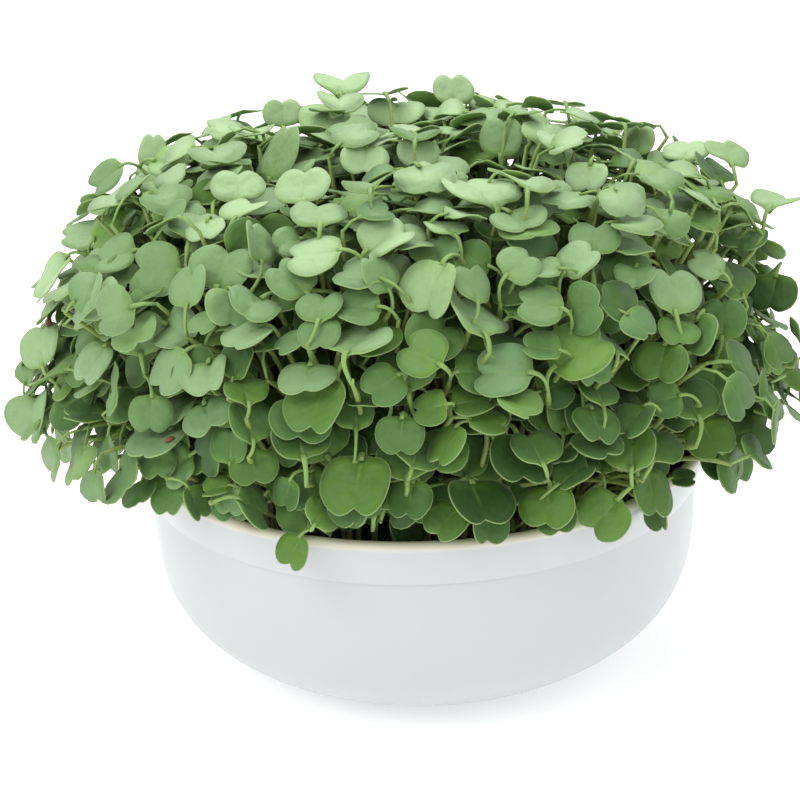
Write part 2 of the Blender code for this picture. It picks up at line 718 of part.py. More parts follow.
def head_of_pair(rng, plant):
    """Head whose stalks reach both feet of a seen pair, on its pixel."""
    ray = view_ray(plant["mark"])
    depth = sum((leaf["foot"] - EYE).dot(ray) for leaf in plant["leaves"]) / 2
    return EYE + ray * (depth + rng.uniform(0.0, PAIR_DEPTH))


def head_of_leaf(rng, leaf):
    """Head at the far end of a stalk that meets a seen blade at an angle from below."""
    bend = radians(rng.uniform(*SEEN_BEND))
    turn = Matrix.Rotation(radians(rng.uniform(-SEEN_TURN, SEEN_TURN)), 3, leaf["normal"])
    way = turn @ leaf["ahead"] * cos(bend) + leaf["normal"] * sin(bend)
    return leaf["foot"] - way * rng.uniform(*STALK_LENGTH)


def other_leaf(rng, head, leaf):
    """The second leaf of a pair, which a seen leaf hides or half hides."""
    tilt = radians(rng.uniform(*SEEN_TILT))
    ahead = leaf["ahead"] * cos(tilt) - leaf["normal"] * sin(tilt)
    normal = leaf["normal"] * cos(tilt) + leaf["ahead"] * sin(tilt)
    frame = Matrix((-ahead, normal.cross(-ahead), normal)).transposed()
    return random_leaf(rng, head, frame, OTHER_YAW)


def grow_seen(plant, tufts, grown, blades):
    """Stem, stalks and, where there is room, the second leaf of a seen seedling."""
    rng = plant["rng"]
    first = plant["leaves"][0]
    own = plant["blades"]
    others = [tree for tree in grown if tree not in own]
    for attempt in range(TRIES + LONE_TRIES):
        if plant["mark"]:
            head = head_of_pair(rng, plant)
        else:
            head = head_of_leaf(rng, first)
        for leaf in plant["leaves"]:
            start_stalk(leaf, head)
        tuft, root = root_choice(rng, tufts, head)
        trial = {
            "root": root,
            "head": head,
            "arrive": (stem_arrival(rng, head) + first["normal"]).normalized(),
            "leaves": list(plant["leaves"]),
        }
        if not plant["mark"] and attempt < TRIES:
            second = other_leaf(rng, head, first)
            if stands_out(second) or hides_seen(second, blades):
                continue
            trial["leaves"].append(second)
        trees = seedling_trees(trial)
        if not crosses(trees, others) and not crosses(trees[:1], own):
            tuft["free"].remove(root)
            tuft["plants"].append(trial)
            grown.extend(trees)
            return


def free_seedling(rng, root, spot, facing):
    """Seedling placed at random near a spot on the canopy."""
    drift = Vector([rng.uniform(-1, 1) for _ in range(3)]) * HEAD_DRIFT
    head = spot - facing * rng.uniform(0.0, HEAD_DEPTH) + drift
    facing, out = canopy_facing(head)
    attitude = PAIR_RISE + asin(min(1.0, facing.z)) * PAIR_SHARE
    wobble = Vector([rng.uniform(-1, 1) for _ in range(3)]) * LEAF_WOBBLE
    normal = (out * cos(attitude) + Vector((0, 0, sin(attitude))) + wobble).normalized()
    along = Matrix.Rotation(rng.uniform(0, 2 * pi), 3, normal) @ normal.orthogonal().normalized()
    frame = Matrix((along, normal.cross(along), normal)).transposed()
    return {
        "root": root,
        "head": head,
        "arrive": stem_arrival(rng, head),
        "leaves": [
            random_leaf(rng, head, frame, FREE_YAW),
            random_leaf(rng, head, frame @ Matrix.Rotation(pi, 3, "Z"), FREE_YAW),
        ],
    }


def grow_free(rng, tuft, table, grown, blades):
    """Seedlings on the spots of a tuft that are still free, each where it finds room."""
    spot, facing, _ = canopy_place(table, tuft["share"], tuft["turn"])
    across = facing.orthogonal().normalized()
    first = rng.uniform(0, 2 * pi)
    for member, root in enumerate(list(tuft["free"])):
        around = Matrix.Rotation(first + member * 2 * pi / TUFT_SIZE, 3, facing) @ across
        for attempt in range(TRIES):
            trial = free_seedling(rng, root, spot + around * TUFT_SPREAD, facing)
            if any(stands_out(leaf) or hides_seen(leaf, blades) for leaf in trial["leaves"]):
                continue
            trees = seedling_trees(trial)
            if not crosses(trees, grown):
                tuft["plants"].append(trial)
                grown.extend(trees)
                break


def make_tuft(name, tuft, collection, material):
    """Join a tuft's root crown, stems and leaves in one solid."""
    parts = make_collection(name + "_parts")
    body = mesh_object(name, crown_cone(tuft["crown"], 0.0, CROWN_RAISE), collection, material)
    for plant in tuft["plants"]:
        mesh_object(name + "_stem", stem_mesh(plant, STEM_RADIUS), parts)
        for leaf in plant["leaves"]:
            mesh_object(name + "_leaf", leaf_mesh(leaf, 0.0), parts)
    join = body.modifiers.new("Join", "BOOLEAN")
    join.operation = "UNION"
    join.operand_type = "COLLECTION"
    join.collection = parts
    join.solver = "MANIFOLD"
    bpy.context.view_layer.update()
    graph = bpy.context.evaluated_depsgraph_get()
    joined = bpy.data.meshes.new_from_object(body.evaluated_get(graph))
    body.modifiers.clear()
    body.data = joined
    for item in list(parts.objects):
        bpy.data.objects.remove(item, do_unlink=True)
    bpy.data.collections.remove(parts)


def evaluated_tree(made):
    bpy.context.view_layer.update()
    graph = bpy.context.evaluated_depsgraph_get()
    bm = bmesh.new()
    bm.from_object(made, graph)
    return search_tree(bm)


def main():
    clear_scene()
    collection = make_collection("arugula_microgreens")
    cutters = make_collection("cutters")
    plastic = make_material("white_plastic", BOWL_WHITE, BOWL_ROUGHNESS)
    earth = make_material("growing_medium", MEDIUM_BROWN, MEDIUM_ROUGHNESS)
    bowl = make_bowl(collection, plastic)
    grown = [evaluated_tree(bowl)]
    tufts = sown_tufts()
    seen_plants = place_seen(grown)
    blades = [tree for plant in seen_plants for tree in plant["blades"]]
    for plant in seen_plants:
        grow_seen(plant, tufts, grown, blades)
    table = canopy_table()
    for number, tuft in reversed(list(enumerate(tufts, 1))):
        grow_free(random.Random(-number), tuft, table, grown, blades)
    for number, tuft in enumerate(tufts, 1):
        name = f"tuft_{number:02d}"
        green = make_material(name, LEAF_GREEN, LEAF_ROUGHNESS)
        make_tuft(name, tuft, collection, green)
    make_medium(collection, cutters, earth, [tuft["crown"] for tuft in tufts])


main()
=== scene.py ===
# Arugula microgreens in a round white bowl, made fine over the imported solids.
# Metres, +Z up. The origin is under the middle of the bowl, and the front faces -Y.

import random
from math import asin, atan2, cos, pi, radians, sin, sqrt

import bpy
import numpy as np
from mathutils import Matrix, Vector
from mathutils.bvhtree import BVHTree
from mathutils.kdtree import KDTree


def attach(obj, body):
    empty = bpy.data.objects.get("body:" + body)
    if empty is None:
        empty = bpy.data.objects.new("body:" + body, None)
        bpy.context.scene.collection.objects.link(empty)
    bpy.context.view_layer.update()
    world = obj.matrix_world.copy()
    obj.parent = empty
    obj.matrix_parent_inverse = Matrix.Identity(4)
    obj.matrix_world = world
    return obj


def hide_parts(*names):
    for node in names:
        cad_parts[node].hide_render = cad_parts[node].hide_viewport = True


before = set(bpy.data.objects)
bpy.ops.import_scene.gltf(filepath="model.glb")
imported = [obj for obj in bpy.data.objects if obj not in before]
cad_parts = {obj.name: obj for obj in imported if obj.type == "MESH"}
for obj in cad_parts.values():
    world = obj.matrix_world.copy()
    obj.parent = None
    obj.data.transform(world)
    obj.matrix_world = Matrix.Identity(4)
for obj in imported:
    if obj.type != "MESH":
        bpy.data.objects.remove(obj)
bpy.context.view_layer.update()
print("frame loaded with", len(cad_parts), "nodes")

mm = 0.001
crease = radians(35)        # edges sharper than this stay sharp

# Small helpers. In a colour mix, input 0 is the share and 6 and 7 are the two colours.

def hexColour(code):        # sRGB hex to the linear values that shaders use
    parts = [int(code[i:i + 2], 16) / 255 for i in (0, 2, 4)]
    return [p / 12.92 if p <= 0.04045 else ((p + 0.055) / 1.055) ** 2.4 for p in parts] + [1.0]


def addNode(material, kind, inputs=None, **settings):     # value or socket for each input
    node = material.node_tree.nodes.new(kind)
    for name, value in settings.items():
        setattr(node, name, value)
    for name, value in (inputs or {}).items():
        if isinstance(value, bpy.types.NodeSocket):
            material.node_tree.links.new(value, node.inputs[name])
        else:
            node.inputs[name].default_value = value
    return node


def newMaterial(name):      # a material with no nodes yet
    material = bpy.data.materials.new(name)
    material.use_nodes = True
    material.node_tree.nodes.clear()
    return material


def finishMaterial(material, shader):
    addNode(material, "ShaderNodeOutputMaterial", {"Surface": shader.outputs["BSDF"]})
    return material


def startPiece(name):       # the primitive just added, named and open for editing
    piece = bpy.context.object
    piece.name = name
    bpy.ops.object.mode_set(mode="EDIT")
    return piece


def pickOnly(*pieces):
    bpy.ops.object.select_all(action="DESELECT")
    for piece in pieces:
        piece.select_set(True)
    bpy.context.view_layer.objects.active = pieces[0]


def leaveEdit():            # with all faces turned outwards
    bpy.ops.mesh.select_all(action="SELECT")
    bpy.ops.mesh.normals_make_consistent(inside=False)
    bpy.ops.object.mode_set(mode="OBJECT")


def copyOf(shape, name):    # a copy with its own mesh
    made = bpy.data.objects.new(name, shape.data.copy())
    bpy.context.collection.objects.link(made)
    return made


def pullUp(rings, height):      # the disc just added, into a rod
    step = {"value": (0, 0, height / rings)}
    for _ in range(rings):
        bpy.ops.mesh.extrude_region_move(TRANSFORM_OT_translate=step)


def joinPieces(*pieces):    # all into the first
    pickOnly(*pieces)
    bpy.ops.object.join()
    return pieces[0]


def clamp(value):
    return min(1.0, max(0.0, value))


def endPiece(piece, *nodes):
    pickOnly(piece)
    bpy.ops.object.transform_apply(location=True, rotation=True, scale=True)
    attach(piece, "root")
    if nodes:
        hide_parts(*nodes)
    return piece


bpy.ops.object.select_all(action="DESELECT")

# Camera, at the photograph's angle

camera = {
    "target": Vector((-5.4, 0.0, 66.8)) * mm,
    "distance": 622.7 * mm,
    "elevation": radians(22.2),
    "roll": radians(2.04),      # the right side stands a little higher
    "lens": 108.0,              # mm, on a 36 mm sensor
    "sensor": 36.0,             # mm
    "picture": 800,             # pixels across
}


def makeCamera(settings):
    bpy.ops.object.camera_add()
    eye = bpy.context.object
    back = Vector((0, -cos(settings["elevation"]), sin(settings["elevation"])))
    eye.location = settings["target"] + back * settings["distance"]
    aim = (-back).to_track_quat("-Z", "Y").to_matrix()
    eye.rotation_euler = (aim @ Matrix.Rotation(-settings["roll"], 3, "Z")).to_euler()
    eye.data.lens = settings["lens"]
    eye.data.sensor_width = settings["sensor"]
    bpy.context.scene.camera = eye


makeCamera(camera)

# Floor and light: white paper under broad soft lights

studio = {
    "paper": "F4F4F4",
    "paperSize": 8.0,
    "roughness": 0.9,
    "glow": 0.4,                # the paper is lit a little from behind
    "sky": 0.76,
    "skyColour": "FFFFFF",
    "lights": (                 # place, size, power, all aimed at the greens
        ((-0.9, -0.9, 1.3), 1.0, 9.5),
        ((0.9, -0.6, 1.2), 1.2, 2.5),
        ((0.0, 0.8, 1.4), 1.2, 16.0),
    ),
}


def makeStudio(settings):
    bpy.ops.mesh.primitive_plane_add(size=settings["paperSize"])
    floor = bpy.context.object
    floor.name = "floor"
    paper = newMaterial("whitePaper")       # matt seamless paper
    finishMaterial(paper, addNode(paper, "ShaderNodeBsdfPrincipled", {
        "Base Color": hexColour(settings["paper"]), "Roughness": settings["roughness"],
        "Emission Color": hexColour(settings["paper"]), "Emission Strength": settings["glow"],
    }))
    floor.data.materials.append(paper)
    world = bpy.data.worlds.new("studio")
    world.use_nodes = True
    sky = world.node_tree.nodes["Background"]
    sky.inputs["Color"].default_value = hexColour(settings["skyColour"])
    sky.inputs["Strength"].default_value = settings["sky"]
    bpy.context.scene.world = world
    for place, size, power in settings["lights"]:
        bpy.ops.object.light_add(type="AREA", location=place)
        lamp = bpy.context.object
        lamp.data.shape = "DISK"
        lamp.data.size = size
        lamp.data.energy = power
        away = camera["target"] - lamp.location
        lamp.rotation_euler = away.to_track_quat("-Z", "Y").to_euler()
    bpy.context.scene.view_settings.view_transform = "Standard"


makeStudio(studio)
print("camera and studio ready")

# Bowl: one turned shell of moulded plastic

bowl = {
    "sides": 128,
    "lipRadius": 75.0 * mm,
    "lipBulge": 1.7 * mm,
    "lipWidth": 3.3 * mm,
    "lipSteps": 10,
    "height": 61.0 * mm,        # at the top of the lip
    "bandFootRadius": 71.7 * mm,
    "bandFootHeight": 49.0 * mm,
    "bandStep": 0.9 * mm,
    "bandLedge": 0.5 * mm,
    "footRadius": 39.5 * mm,
    "wall": 2.6 * mm,
    "floor": 2.8 * mm,
    "fullness": 1.9,
    "steepness": 0.5,
    "spacing": 1.25,
    "sideRings": 22,
    "white": "C5C8CA",
    # painted warm glow: the lip's colour, and the heights over which the white turns to it
    "lipGlow": "E4DFCA",
    "lipGlowFrom": 58.5 * mm,
    "lipGlowFull": 60.3 * mm,
    "flow": 14.0,               # mm, faint waves from the mould
    "flowRange": (0.3, 0.7),
    "flowBump": (0.1, 0.1 * mm),        # strength and depth
    "gloss": (0.3, 0.36),               # roughness where the plastic flowed least and most
    "texture": 0.7,             # mm, fine texture of the mould
    "textureBump": (0.05, 0.02 * mm),
    "refraction": 1.49,            # index of refraction
}


def sideCurve(s, radius, foot, low, high):      # from the top of the side down to its foot
    points = []
    for i in range(s["sideRings"] + 1):
        turn = pi / 2 * (i / s["sideRings"]) ** s["spacing"]
        across = foot + (radius - foot) * cos(turn) ** s["fullness"]
        points.append((across, low + (high - low) * (1 - sin(turn) ** s["steepness"])))
    return points


def bowlProfile(s):         # from the outer foot up over the lip and down inside
    sideTop = s["bandFootRadius"] - s["bandStep"]
    bandTop = s["bandFootHeight"]
    outer = sideCurve(s, sideTop, s["footRadius"], 0.0, bandTop - s["bandLedge"])
    inner = sideCurve(s, sideTop - s["wall"], s["footRadius"] - s["wall"], s["floor"], bandTop)
    lip = [(s["bandFootRadius"], bandTop)]
    middle = s["lipRadius"] - s["lipWidth"] / 2
    for i in range(s["lipSteps"] + 1):
        turn = pi * i / s["lipSteps"]
        lip.append((middle + cos(turn) * s["lipWidth"] / 2,
                    s["height"] - s["lipBulge"] * (1 - sin(turn))))
    return list(reversed(outer)) + lip + inner


def turnProfile(name, profile, sides):      # a circle pulled up ring by ring
    radius, height = profile[0]
    bpy.ops.mesh.primitive_circle_add(vertices=sides, radius=radius, fill_type="NGON",
                                      location=(0, 0, height))
    piece = startPiece(name)
    bpy.ops.mesh.select_mode(type="EDGE")
    for low, high in zip(profile, profile[1:]):
        bpy.ops.mesh.extrude_edges_move(TRANSFORM_OT_translate={"value": (0, 0, high[1] - low[1])})
        grow = high[0] / low[0]
        bpy.ops.transform.resize(value=(grow, grow, 1), center_override=(0, 0, high[1]))
    bpy.ops.mesh.edge_face_add()
    leaveEdit()
    bpy.ops.object.shade_smooth_by_angle(angle=crease)
    return piece


plastic = newMaterial("mouldedPolypropylene")     # satin white plastic, with a painted warm glow that makes it warmer at the lip
spot = addNode(plastic, "ShaderNodeTexCoord").outputs["Object"]
level = addNode(plastic, "ShaderNodeSeparateXYZ", {"Vector": spot}).outputs["Z"]
# painted warm glow: the white turns cream up the lip
level = addNode(plastic, "ShaderNodeMapRange", {
    "Value": level, "From Min": bowl["lipGlowFrom"], "From Max": bowl["lipGlowFull"],
}, interpolation_type="SMOOTHSTEP").outputs["Result"]
level = addNode(plastic, "ShaderNodeMix", {
    0: level, 6: hexColour(bowl["white"]), 7: hexColour(bowl["lipGlow"]),
}, data_type="RGBA").outputs[2]
flow = addNode(plastic, "ShaderNodeTexNoise",
               {"Vector": spot, "Scale": 1 / (bowl["flow"] * mm), "Detail": 1.0}).outputs["Fac"]
texture = addNode(plastic, "ShaderNodeTexNoise",
                  {"Vector": spot, "Scale": 1 / (bowl["texture"] * mm)}).outputs["Fac"]
gloss = addNode(plastic, "ShaderNodeMapRange", {
    "Value": flow, "From Min": bowl["flowRange"][0], "From Max": bowl["flowRange"][1],
    "To Min": bowl["gloss"][0], "To Max": bowl["gloss"][1],
}).outputs["Result"]
bump = addNode(plastic, "ShaderNodeBump", {
    "Height": flow, "Strength": bowl["flowBump"][0], "Distance": bowl["flowBump"][1],
}).outputs["Normal"]
bump = addNode(plastic, "ShaderNodeBump", {
    "Height": texture, "Strength": bowl["textureBump"][0], "Distance": bowl["textureBump"][1],
    "Normal": bump,
}).outputs["Normal"]
finishMaterial(plastic, addNode(plastic, "ShaderNodeBsdfPrincipled", {
    "Base Color": level, "Roughness": gloss, "IOR": bowl["refraction"], "Normal": bump,
}))
bowlPiece = turnProfile("bowlShell", bowlProfile(bowl), bowl["sides"])
bowlPiece.data.materials.append(plastic)
endPiece(bowlPiece, "bowl")
print("bowl made")

# Growing medium: a cake of moist peat with crumbs on it

medium = {
    "top": 50.0 * mm,
    "gap": 0.4 * mm,
    "rings": 14,
    "sides": 96,
    "seed": 11,
    "rough": 0.5 * mm,
    "upright": 0.9,             # faces that point up more than this are the top
    "tiny": 0.001 * mm,
    "rim": 0.1 * mm,            # points this near the edge stay level
    "crumbs": 1500,
    "crumbSize": (0.5 * mm, 1.5 * mm),
    "crumbLong": (0.7, 1.5),
    "crumbFlat": (0.5, 0.9),
    "crumbEdge": 1.5 * mm,      # crumbs stay this far from the bowl
    "crumbRise": 0.2,
    "dark": "2A1B12",
    "light": "5B4230",
    "grain": 1.2,               # mm
    "detail": 4.0,
    "bump": (0.8, 0.4 * mm),    # strength and depth
    "roughness": 0.95,
}


def makePeat(s):
    peat = newMaterial("moistPeat")         # dark fibres that scatter light, no gloss
    place = addNode(peat, "ShaderNodeTexCoord")
    grain = addNode(peat, "ShaderNodeTexNoise", {
        "Vector": place.outputs["Object"], "Scale": 1 / (s["grain"] * mm),
        "Detail": s["detail"],
    })
    colour = addNode(peat, "ShaderNodeValToRGB", {"Fac": grain.outputs["Fac"]})
    colour.color_ramp.elements[0].color = hexColour(s["dark"])
    colour.color_ramp.elements[1].color = hexColour(s["light"])
    bump = addNode(peat, "ShaderNodeBump", {
        "Height": grain.outputs["Fac"], "Strength": s["bump"][0], "Distance": s["bump"][1],
    })
    return finishMaterial(peat, addNode(peat, "ShaderNodeBsdfPrincipled", {
        "Base Color": colour.outputs["Color"], "Roughness": s["roughness"],
        "Normal": bump.outputs["Normal"],
    }))


def makeMedium(s):
    rng = random.Random(s["seed"])
    inside = sideCurve(bowl, bowl["bandFootRadius"] - bowl["bandStep"] - bowl["wall"] - s["gap"],
                       bowl["footRadius"] - bowl["wall"] - s["gap"],
                       bowl["floor"] + s["gap"], s["top"])
    piece = turnProfile("growingMedium", list(reversed(inside)), s["sides"])
    bpy.ops.object.mode_set(mode="EDIT")
    bpy.ops.mesh.select_all(action="DESELECT")
    bpy.ops.object.mode_set(mode="OBJECT")
    for face in piece.data.polygons:        # the flat top
        face.select = face.normal.z > s["upright"] and face.center.z > s["top"] - 1 * mm
    bpy.ops.object.mode_set(mode="EDIT")
    bpy.ops.mesh.select_mode(type="FACE")
    for _ in range(s["rings"] - 1):
        bpy.ops.mesh.inset(thickness=inside[0][0] / s["rings"])
    bpy.ops.mesh.poke()
    bpy.ops.object.mode_set(mode="OBJECT")
    for vert in piece.data.vertices:
        if vert.co.z > s["top"] - s["tiny"] and vert.co.xy.length < inside[0][0] - s["rim"]:
            vert.co.z += rng.uniform(-1, 1) * s["rough"]
    piece.data.materials.append(makePeat(s))
    crumbs = []
    bpy.ops.mesh.primitive_ico_sphere_add(subdivisions=1, radius=0.5)
    crumb = bpy.context.object
    for _ in range(s["crumbs"]):
        turn = rng.uniform(0, 2 * pi)
        reach = sqrt(rng.random()) * (inside[0][0] - s["crumbEdge"])
        size = rng.uniform(*s["crumbSize"])
        made = copyOf(crumb, "crumb")
        spread = Matrix.Diagonal((size * rng.uniform(*s["crumbLong"]), size,
                                  size * rng.uniform(*s["crumbFlat"]), 1))
        spin = Matrix.Rotation(rng.uniform(0, pi), 4, "Z")
        place = Matrix.Translation((cos(turn) * reach, sin(turn) * reach,
                                    s["top"] + size * s["crumbRise"]))
        made.data.transform(place @ spin @ spread)
        crumbs.append(made)
    bpy.data.objects.remove(crumb)
    return endPiece(joinPieces(piece, *crumbs), "growing_medium")


makeMedium(medium)
print("growing medium made")

# Canopy: the surface that the stems reach up to, as in the solids

canopy = {
    "widthRadius": 88.0 * mm,
    "depthRadius": 80.0 * mm,
    "shift": -2.0 * mm,
    "waist": 68.0 * mm,
    "rise": 67.0 * mm,
    "fall": 8.0 * mm,
    "tuck": 0.985,
    "flatness": 3.2,
    "steps": 80,
}


def canopyTable(c):         # share of the area above, radius and height, down the canopy
    power = 2 / c["flatness"]
    line = []
    for i in range(c["steps"] + 1):
        turn = pi / 2 * i / c["steps"]
        line.append((sin(turn) ** power, cos(turn) ** power * c["rise"] + c["waist"]))
    line.append((c["tuck"], c["waist"] - c["fall"]))
    meanRadius = (c["widthRadius"] + c["depthRadius"]) / 2
    table = [(0.0, *line[0])]
    area = 0.0
    for (r0, z0), (r1, z1) in zip(line, line[1:]):
        area += (r0 + r1) * sqrt(((r1 - r0) * meanRadius) ** 2 + (z1 - z0) ** 2)
        table.append((area, r1, z1))
    return [(done / area, r, z) for done, r, z in table]


def canopyAcross(point):
    return Vector(((point.x - canopy["shift"]) / canopy["widthRadius"],
                   point.y / canopy["depthRadius"], 0.0))


def canopyHeight(point):
    return max(0.0, (point.z - canopy["waist"]) / canopy["rise"])


def canopyFacing(point):    # the way it faces near a point, and the level way out
    across = canopyAcross(point)
    out = across.normalized()
    slope = out * min(1.0, across.length) ** (canopy["flatness"] - 1)
    slope *= canopy["rise"] / canopy["widthRadius"]
    slope.z = min(1.0, canopyHeight(point)) ** (canopy["flatness"] - 1)
    return slope.normalized(), out


def canopyFullness(point):  # 1 on the canopy, less inside it
    flat = canopy["flatness"]
    return canopyAcross(point).length ** flat + canopyHeight(point) ** flat


def canopyPlace(table, share, turn):
    for (s0, r0, z0), (s1, r1, z1) in zip(table, table[1:]):
        if share <= s1:
            break
    t = (share - s0) / (s1 - s0)
    r = r0 + (r1 - r0) * t
    z = z0 + (z1 - z0) * t
    point = Vector((
        cos(turn) * r * canopy["widthRadius"] + canopy["shift"],
        sin(turn) * r * canopy["depthRadius"],
        z,
    ))
    return point, *canopyFacing(point)


# Seedlings: how leaves and stems lie, as in the solids

seedling = {
    "tufts": 41,
    "rootField": 62.0 * mm,
    "soilTop": 50.0 * mm,
    "tuftSize": 3,
    "tuftSpread": 9.5 * mm,
    "stemSpread": 1.9 * mm,
    "stemSink": 0.9 * mm,
    "stemRadius": 0.8 * mm,
    "girth": 0.6 * mm,          # radius of the fine round stem
    "stemFlare": 1.3,
    "stemFlarePower": 6,
    "stemRise": 0.42,
    "stemBend": 0.3,
    "topRise": radians(15),
    "topShare": 0.8,
    "bow": radians(24),
    "bowTop": 92.0 * mm,
    "bowDepth": 30.0 * mm,
    "riseSpread": 16,
    "turnSpread": 25,
    "stemSpacing": 1.5,
    "leafWidth": (12.0 * mm, 16.5 * mm),
    "ratio": 1.32,
    "lengthSpread": (0.92, 1.1),
    "cup": (-0.04, 0.2),
    "sag": (0.0, 0.16),
    "lift": (18, 48),
    "pitch": (-22, 14),
    "roll": (-14, 14),
    "stalk": (4.0 * mm, 8.0 * mm),
    "stalkWidth": 1.6 * mm,
    "tries": 150,
    "loneTries": 250,
    "leanOut": 1.3,
    "rootChoices": 4,
    "headDrift": 4.0 * mm,
    "headDepth": 12.0 * mm,
    "pairRise": radians(34),
    "pairShare": 0.62,
    "wobble": 0.3,
    "freeYaw": 14,
    "otherYaw": 50,
    "seenRatio": (1.2, 1.45),
    "seenCup": (0.0, 0.16),
    "seenSag": (0.0, 0.1),
    "seenBend": (15, 75),
    "seenTurn": 30,
    "seenTilt": (-20, 10),
    "pairDepth": 5.0 * mm,
    "push": 1.0 * mm,
    "pushes": 16,
    "notch": 0.79,              # where along the leaf its notch is
    "tiny": 0.00001,
}


def stemPoint(plant, t):
    root, head, arrive = plant["root"], plant["head"], plant["arrive"]
    reach = (head - root).length
    if t > 1:
        return head + arrive * reach * (t - 1)
    start = root + Vector((0, 0, reach * seedling["stemRise"]))
    end = head - arrive * reach * seedling["stemBend"]
    u = 1 - t
    return root * u ** 3 + start * 3 * u * u * t + end * 3 * u * t * t + head * t ** 3


def stemArrival(rng, head):
    s = seedling
    facing, out = canopyFacing(head)
    slope = asin(max(-1.0, min(1.0, facing.z)))
    low = clamp((s["bowTop"] - head.z) / s["bowDepth"])
    rise = (slope * s["topShare"] + s["topRise"]) * (1 - low) - s["bow"] * low
    rise += radians(rng.uniform(-s["riseSpread"], s["riseSpread"]))
    sway = radians(rng.uniform(-s["turnSpread"], s["turnSpread"]))
    turn = Matrix.Rotation(sway, 3, "Z")
    return (turn @ (out * cos(rise) + Vector((0, 0, sin(rise))))).normalized()


def startStalk(leaf, head):
    leaf["start"] = head
    leaf["stalk"] = (leaf["foot"] - head).length


def leafPoint(leaf, along, across):     # shares of length and width
    rise = leaf["cup"] * (2 * across) ** 2 * leaf["width"] / 2
    rise -= leaf["sag"] * along ** 2 * leaf["length"]
    flat = leaf["foot"] + leaf["ahead"] * along * leaf["length"]
    return flat + leaf["side"] * across * leaf["width"] + leaf["normal"] * rise


def randomLeaf(rng, head, axes, freedom):
    s = seedling
    width = rng.uniform(*s["leafWidth"])
    stalk = rng.uniform(*s["stalk"])
    lift = radians(rng.uniform(*s["lift"]))
    pitch = radians(rng.uniform(*s["pitch"]))
    roll = radians(rng.uniform(*s["roll"]))
    yaw = Matrix.Rotation(radians(rng.uniform(-freedom, freedom)), 3, "Z")
    turned = axes @ yaw
    ahead = turned @ Vector((cos(pitch), 0, sin(pitch)))
    side = Matrix.Rotation(roll, 3, ahead) @ (turned @ Vector((0, 1, 0)))
    leaf = {
        "foot": head + turned @ Vector((cos(lift), 0, sin(lift))) * stalk,
        "ahead": ahead,
        "side": side,
        "normal": ahead.cross(side),
        "width": width,
        "length": width / s["ratio"] * rng.uniform(*s["lengthSpread"]),
        "cup": rng.uniform(*s["cup"]),
        "sag": rng.uniform(*s["sag"]),
        "tone": None,
    }
    startStalk(leaf, head)
    return leaf


# Front view, in which the seen leaves are marked

viewFocus = camera["lens"] / camera["sensor"] * camera["picture"]
viewBack = Vector((0, -cos(camera["elevation"]), sin(camera["elevation"])))
viewLevel = Vector((1, 0, 0))
viewUpright = viewBack.cross(viewLevel)
viewRight = viewLevel * cos(camera["roll"]) - viewUpright * sin(camera["roll"])
viewUp = viewBack.cross(viewRight)
viewEye = camera["target"] + viewBack * camera["distance"]


def viewRay(mark):
    middle = camera["picture"] / 2
    across = viewRight * (mark[0] - middle) - viewUp * (mark[1] - middle)
    return (across - viewBack * viewFocus).normalized()


def middleRay(marks):       # from the eye to the middle of a marked leaf
    return viewRay([(a + b) / 2 for a, b in zip(marks["foot"], marks["notch"])])


def canopyDistance(ray):    # from the eye to the canopy, or to where the ray passes nearest
    push = seedling["push"]
    steps = int(2 * canopy["widthRadius"] / push)
    nearest = camera["distance"] - steps * push
    distances = [nearest + i * push for i in range(2 * steps)]
    fullness = [canopyFullness(viewEye + ray * distance) for distance in distances]
    for distance, full in zip(distances, fullness):
        if full <= 1:
            return distance
    return distances[fullness.index(min(fullness))]


def seenBlade(marks, distance, curl):       # blade whose four marks fall on their pixels
    ray = middleRay(marks)
    flat = {}
    for name in ("foot", "notch", "left", "right"):
        away = viewRay(marks[name])
        flat[name] = viewEye + away * (distance / away.dot(ray))
    ahead = (flat["notch"] - flat["foot"]) / seedling["notch"]
    side = flat["right"] - flat["left"]
    low, high = seedling["seenRatio"]
    ratio = max(low, min(high, side.length / ahead.length))
    skew = ahead.dot(side)
    spare = ratio ** 2 * ahead.length_squared - side.length_squared
    lean = (sqrt(spare ** 2 + (2 * ratio * skew) ** 2) - spare) / (2 * ratio ** 2)
    lean = sqrt(max(lean, 0.0))
    roll = -skew / lean if lean > seedling["tiny"] else sqrt(max(spare, 0.0))
    best = None
    for sign in (1, -1):        # of the two ways to lean, the one that faces up more
        leant = (ahead - ray * lean * sign).normalized()
        across = side - ray * roll * sign
        across = (across - leant * across.dot(leant)).normalized()
        normal = leant.cross(across)
        if normal.dot(ray) > 0:
            across = -across
            normal = -normal
        if best is None or normal.z > best["normal"].z:
            best = {"ahead": leant, "side": across, "normal": normal}
    length = sqrt(ahead.length_squared + lean ** 2)
    best["length"] = length
    best["width"] = length * ratio
    best["foot"] = viewEye + ray * distance - best["ahead"] * length * seedling["notch"] / 2
    best["cup"], best["sag"] = curl
    best["tone"] = marks["tone"]
    startStalk(best, best["foot"] - best["ahead"] * seedling["stalkWidth"])
    return best


def seen(*row):             # foot, notch, left and right edge: across and down; then a tone
    marks = {"tone": row[8] if len(row) > 8 else "plain"}
    for i, name in enumerate(("foot", "notch", "left", "right")):
        marks[name] = row[2 * i:2 * i + 2]
    return marks


# The seedlings that the solids hold, marked in the front view: foot, notch and shoulders

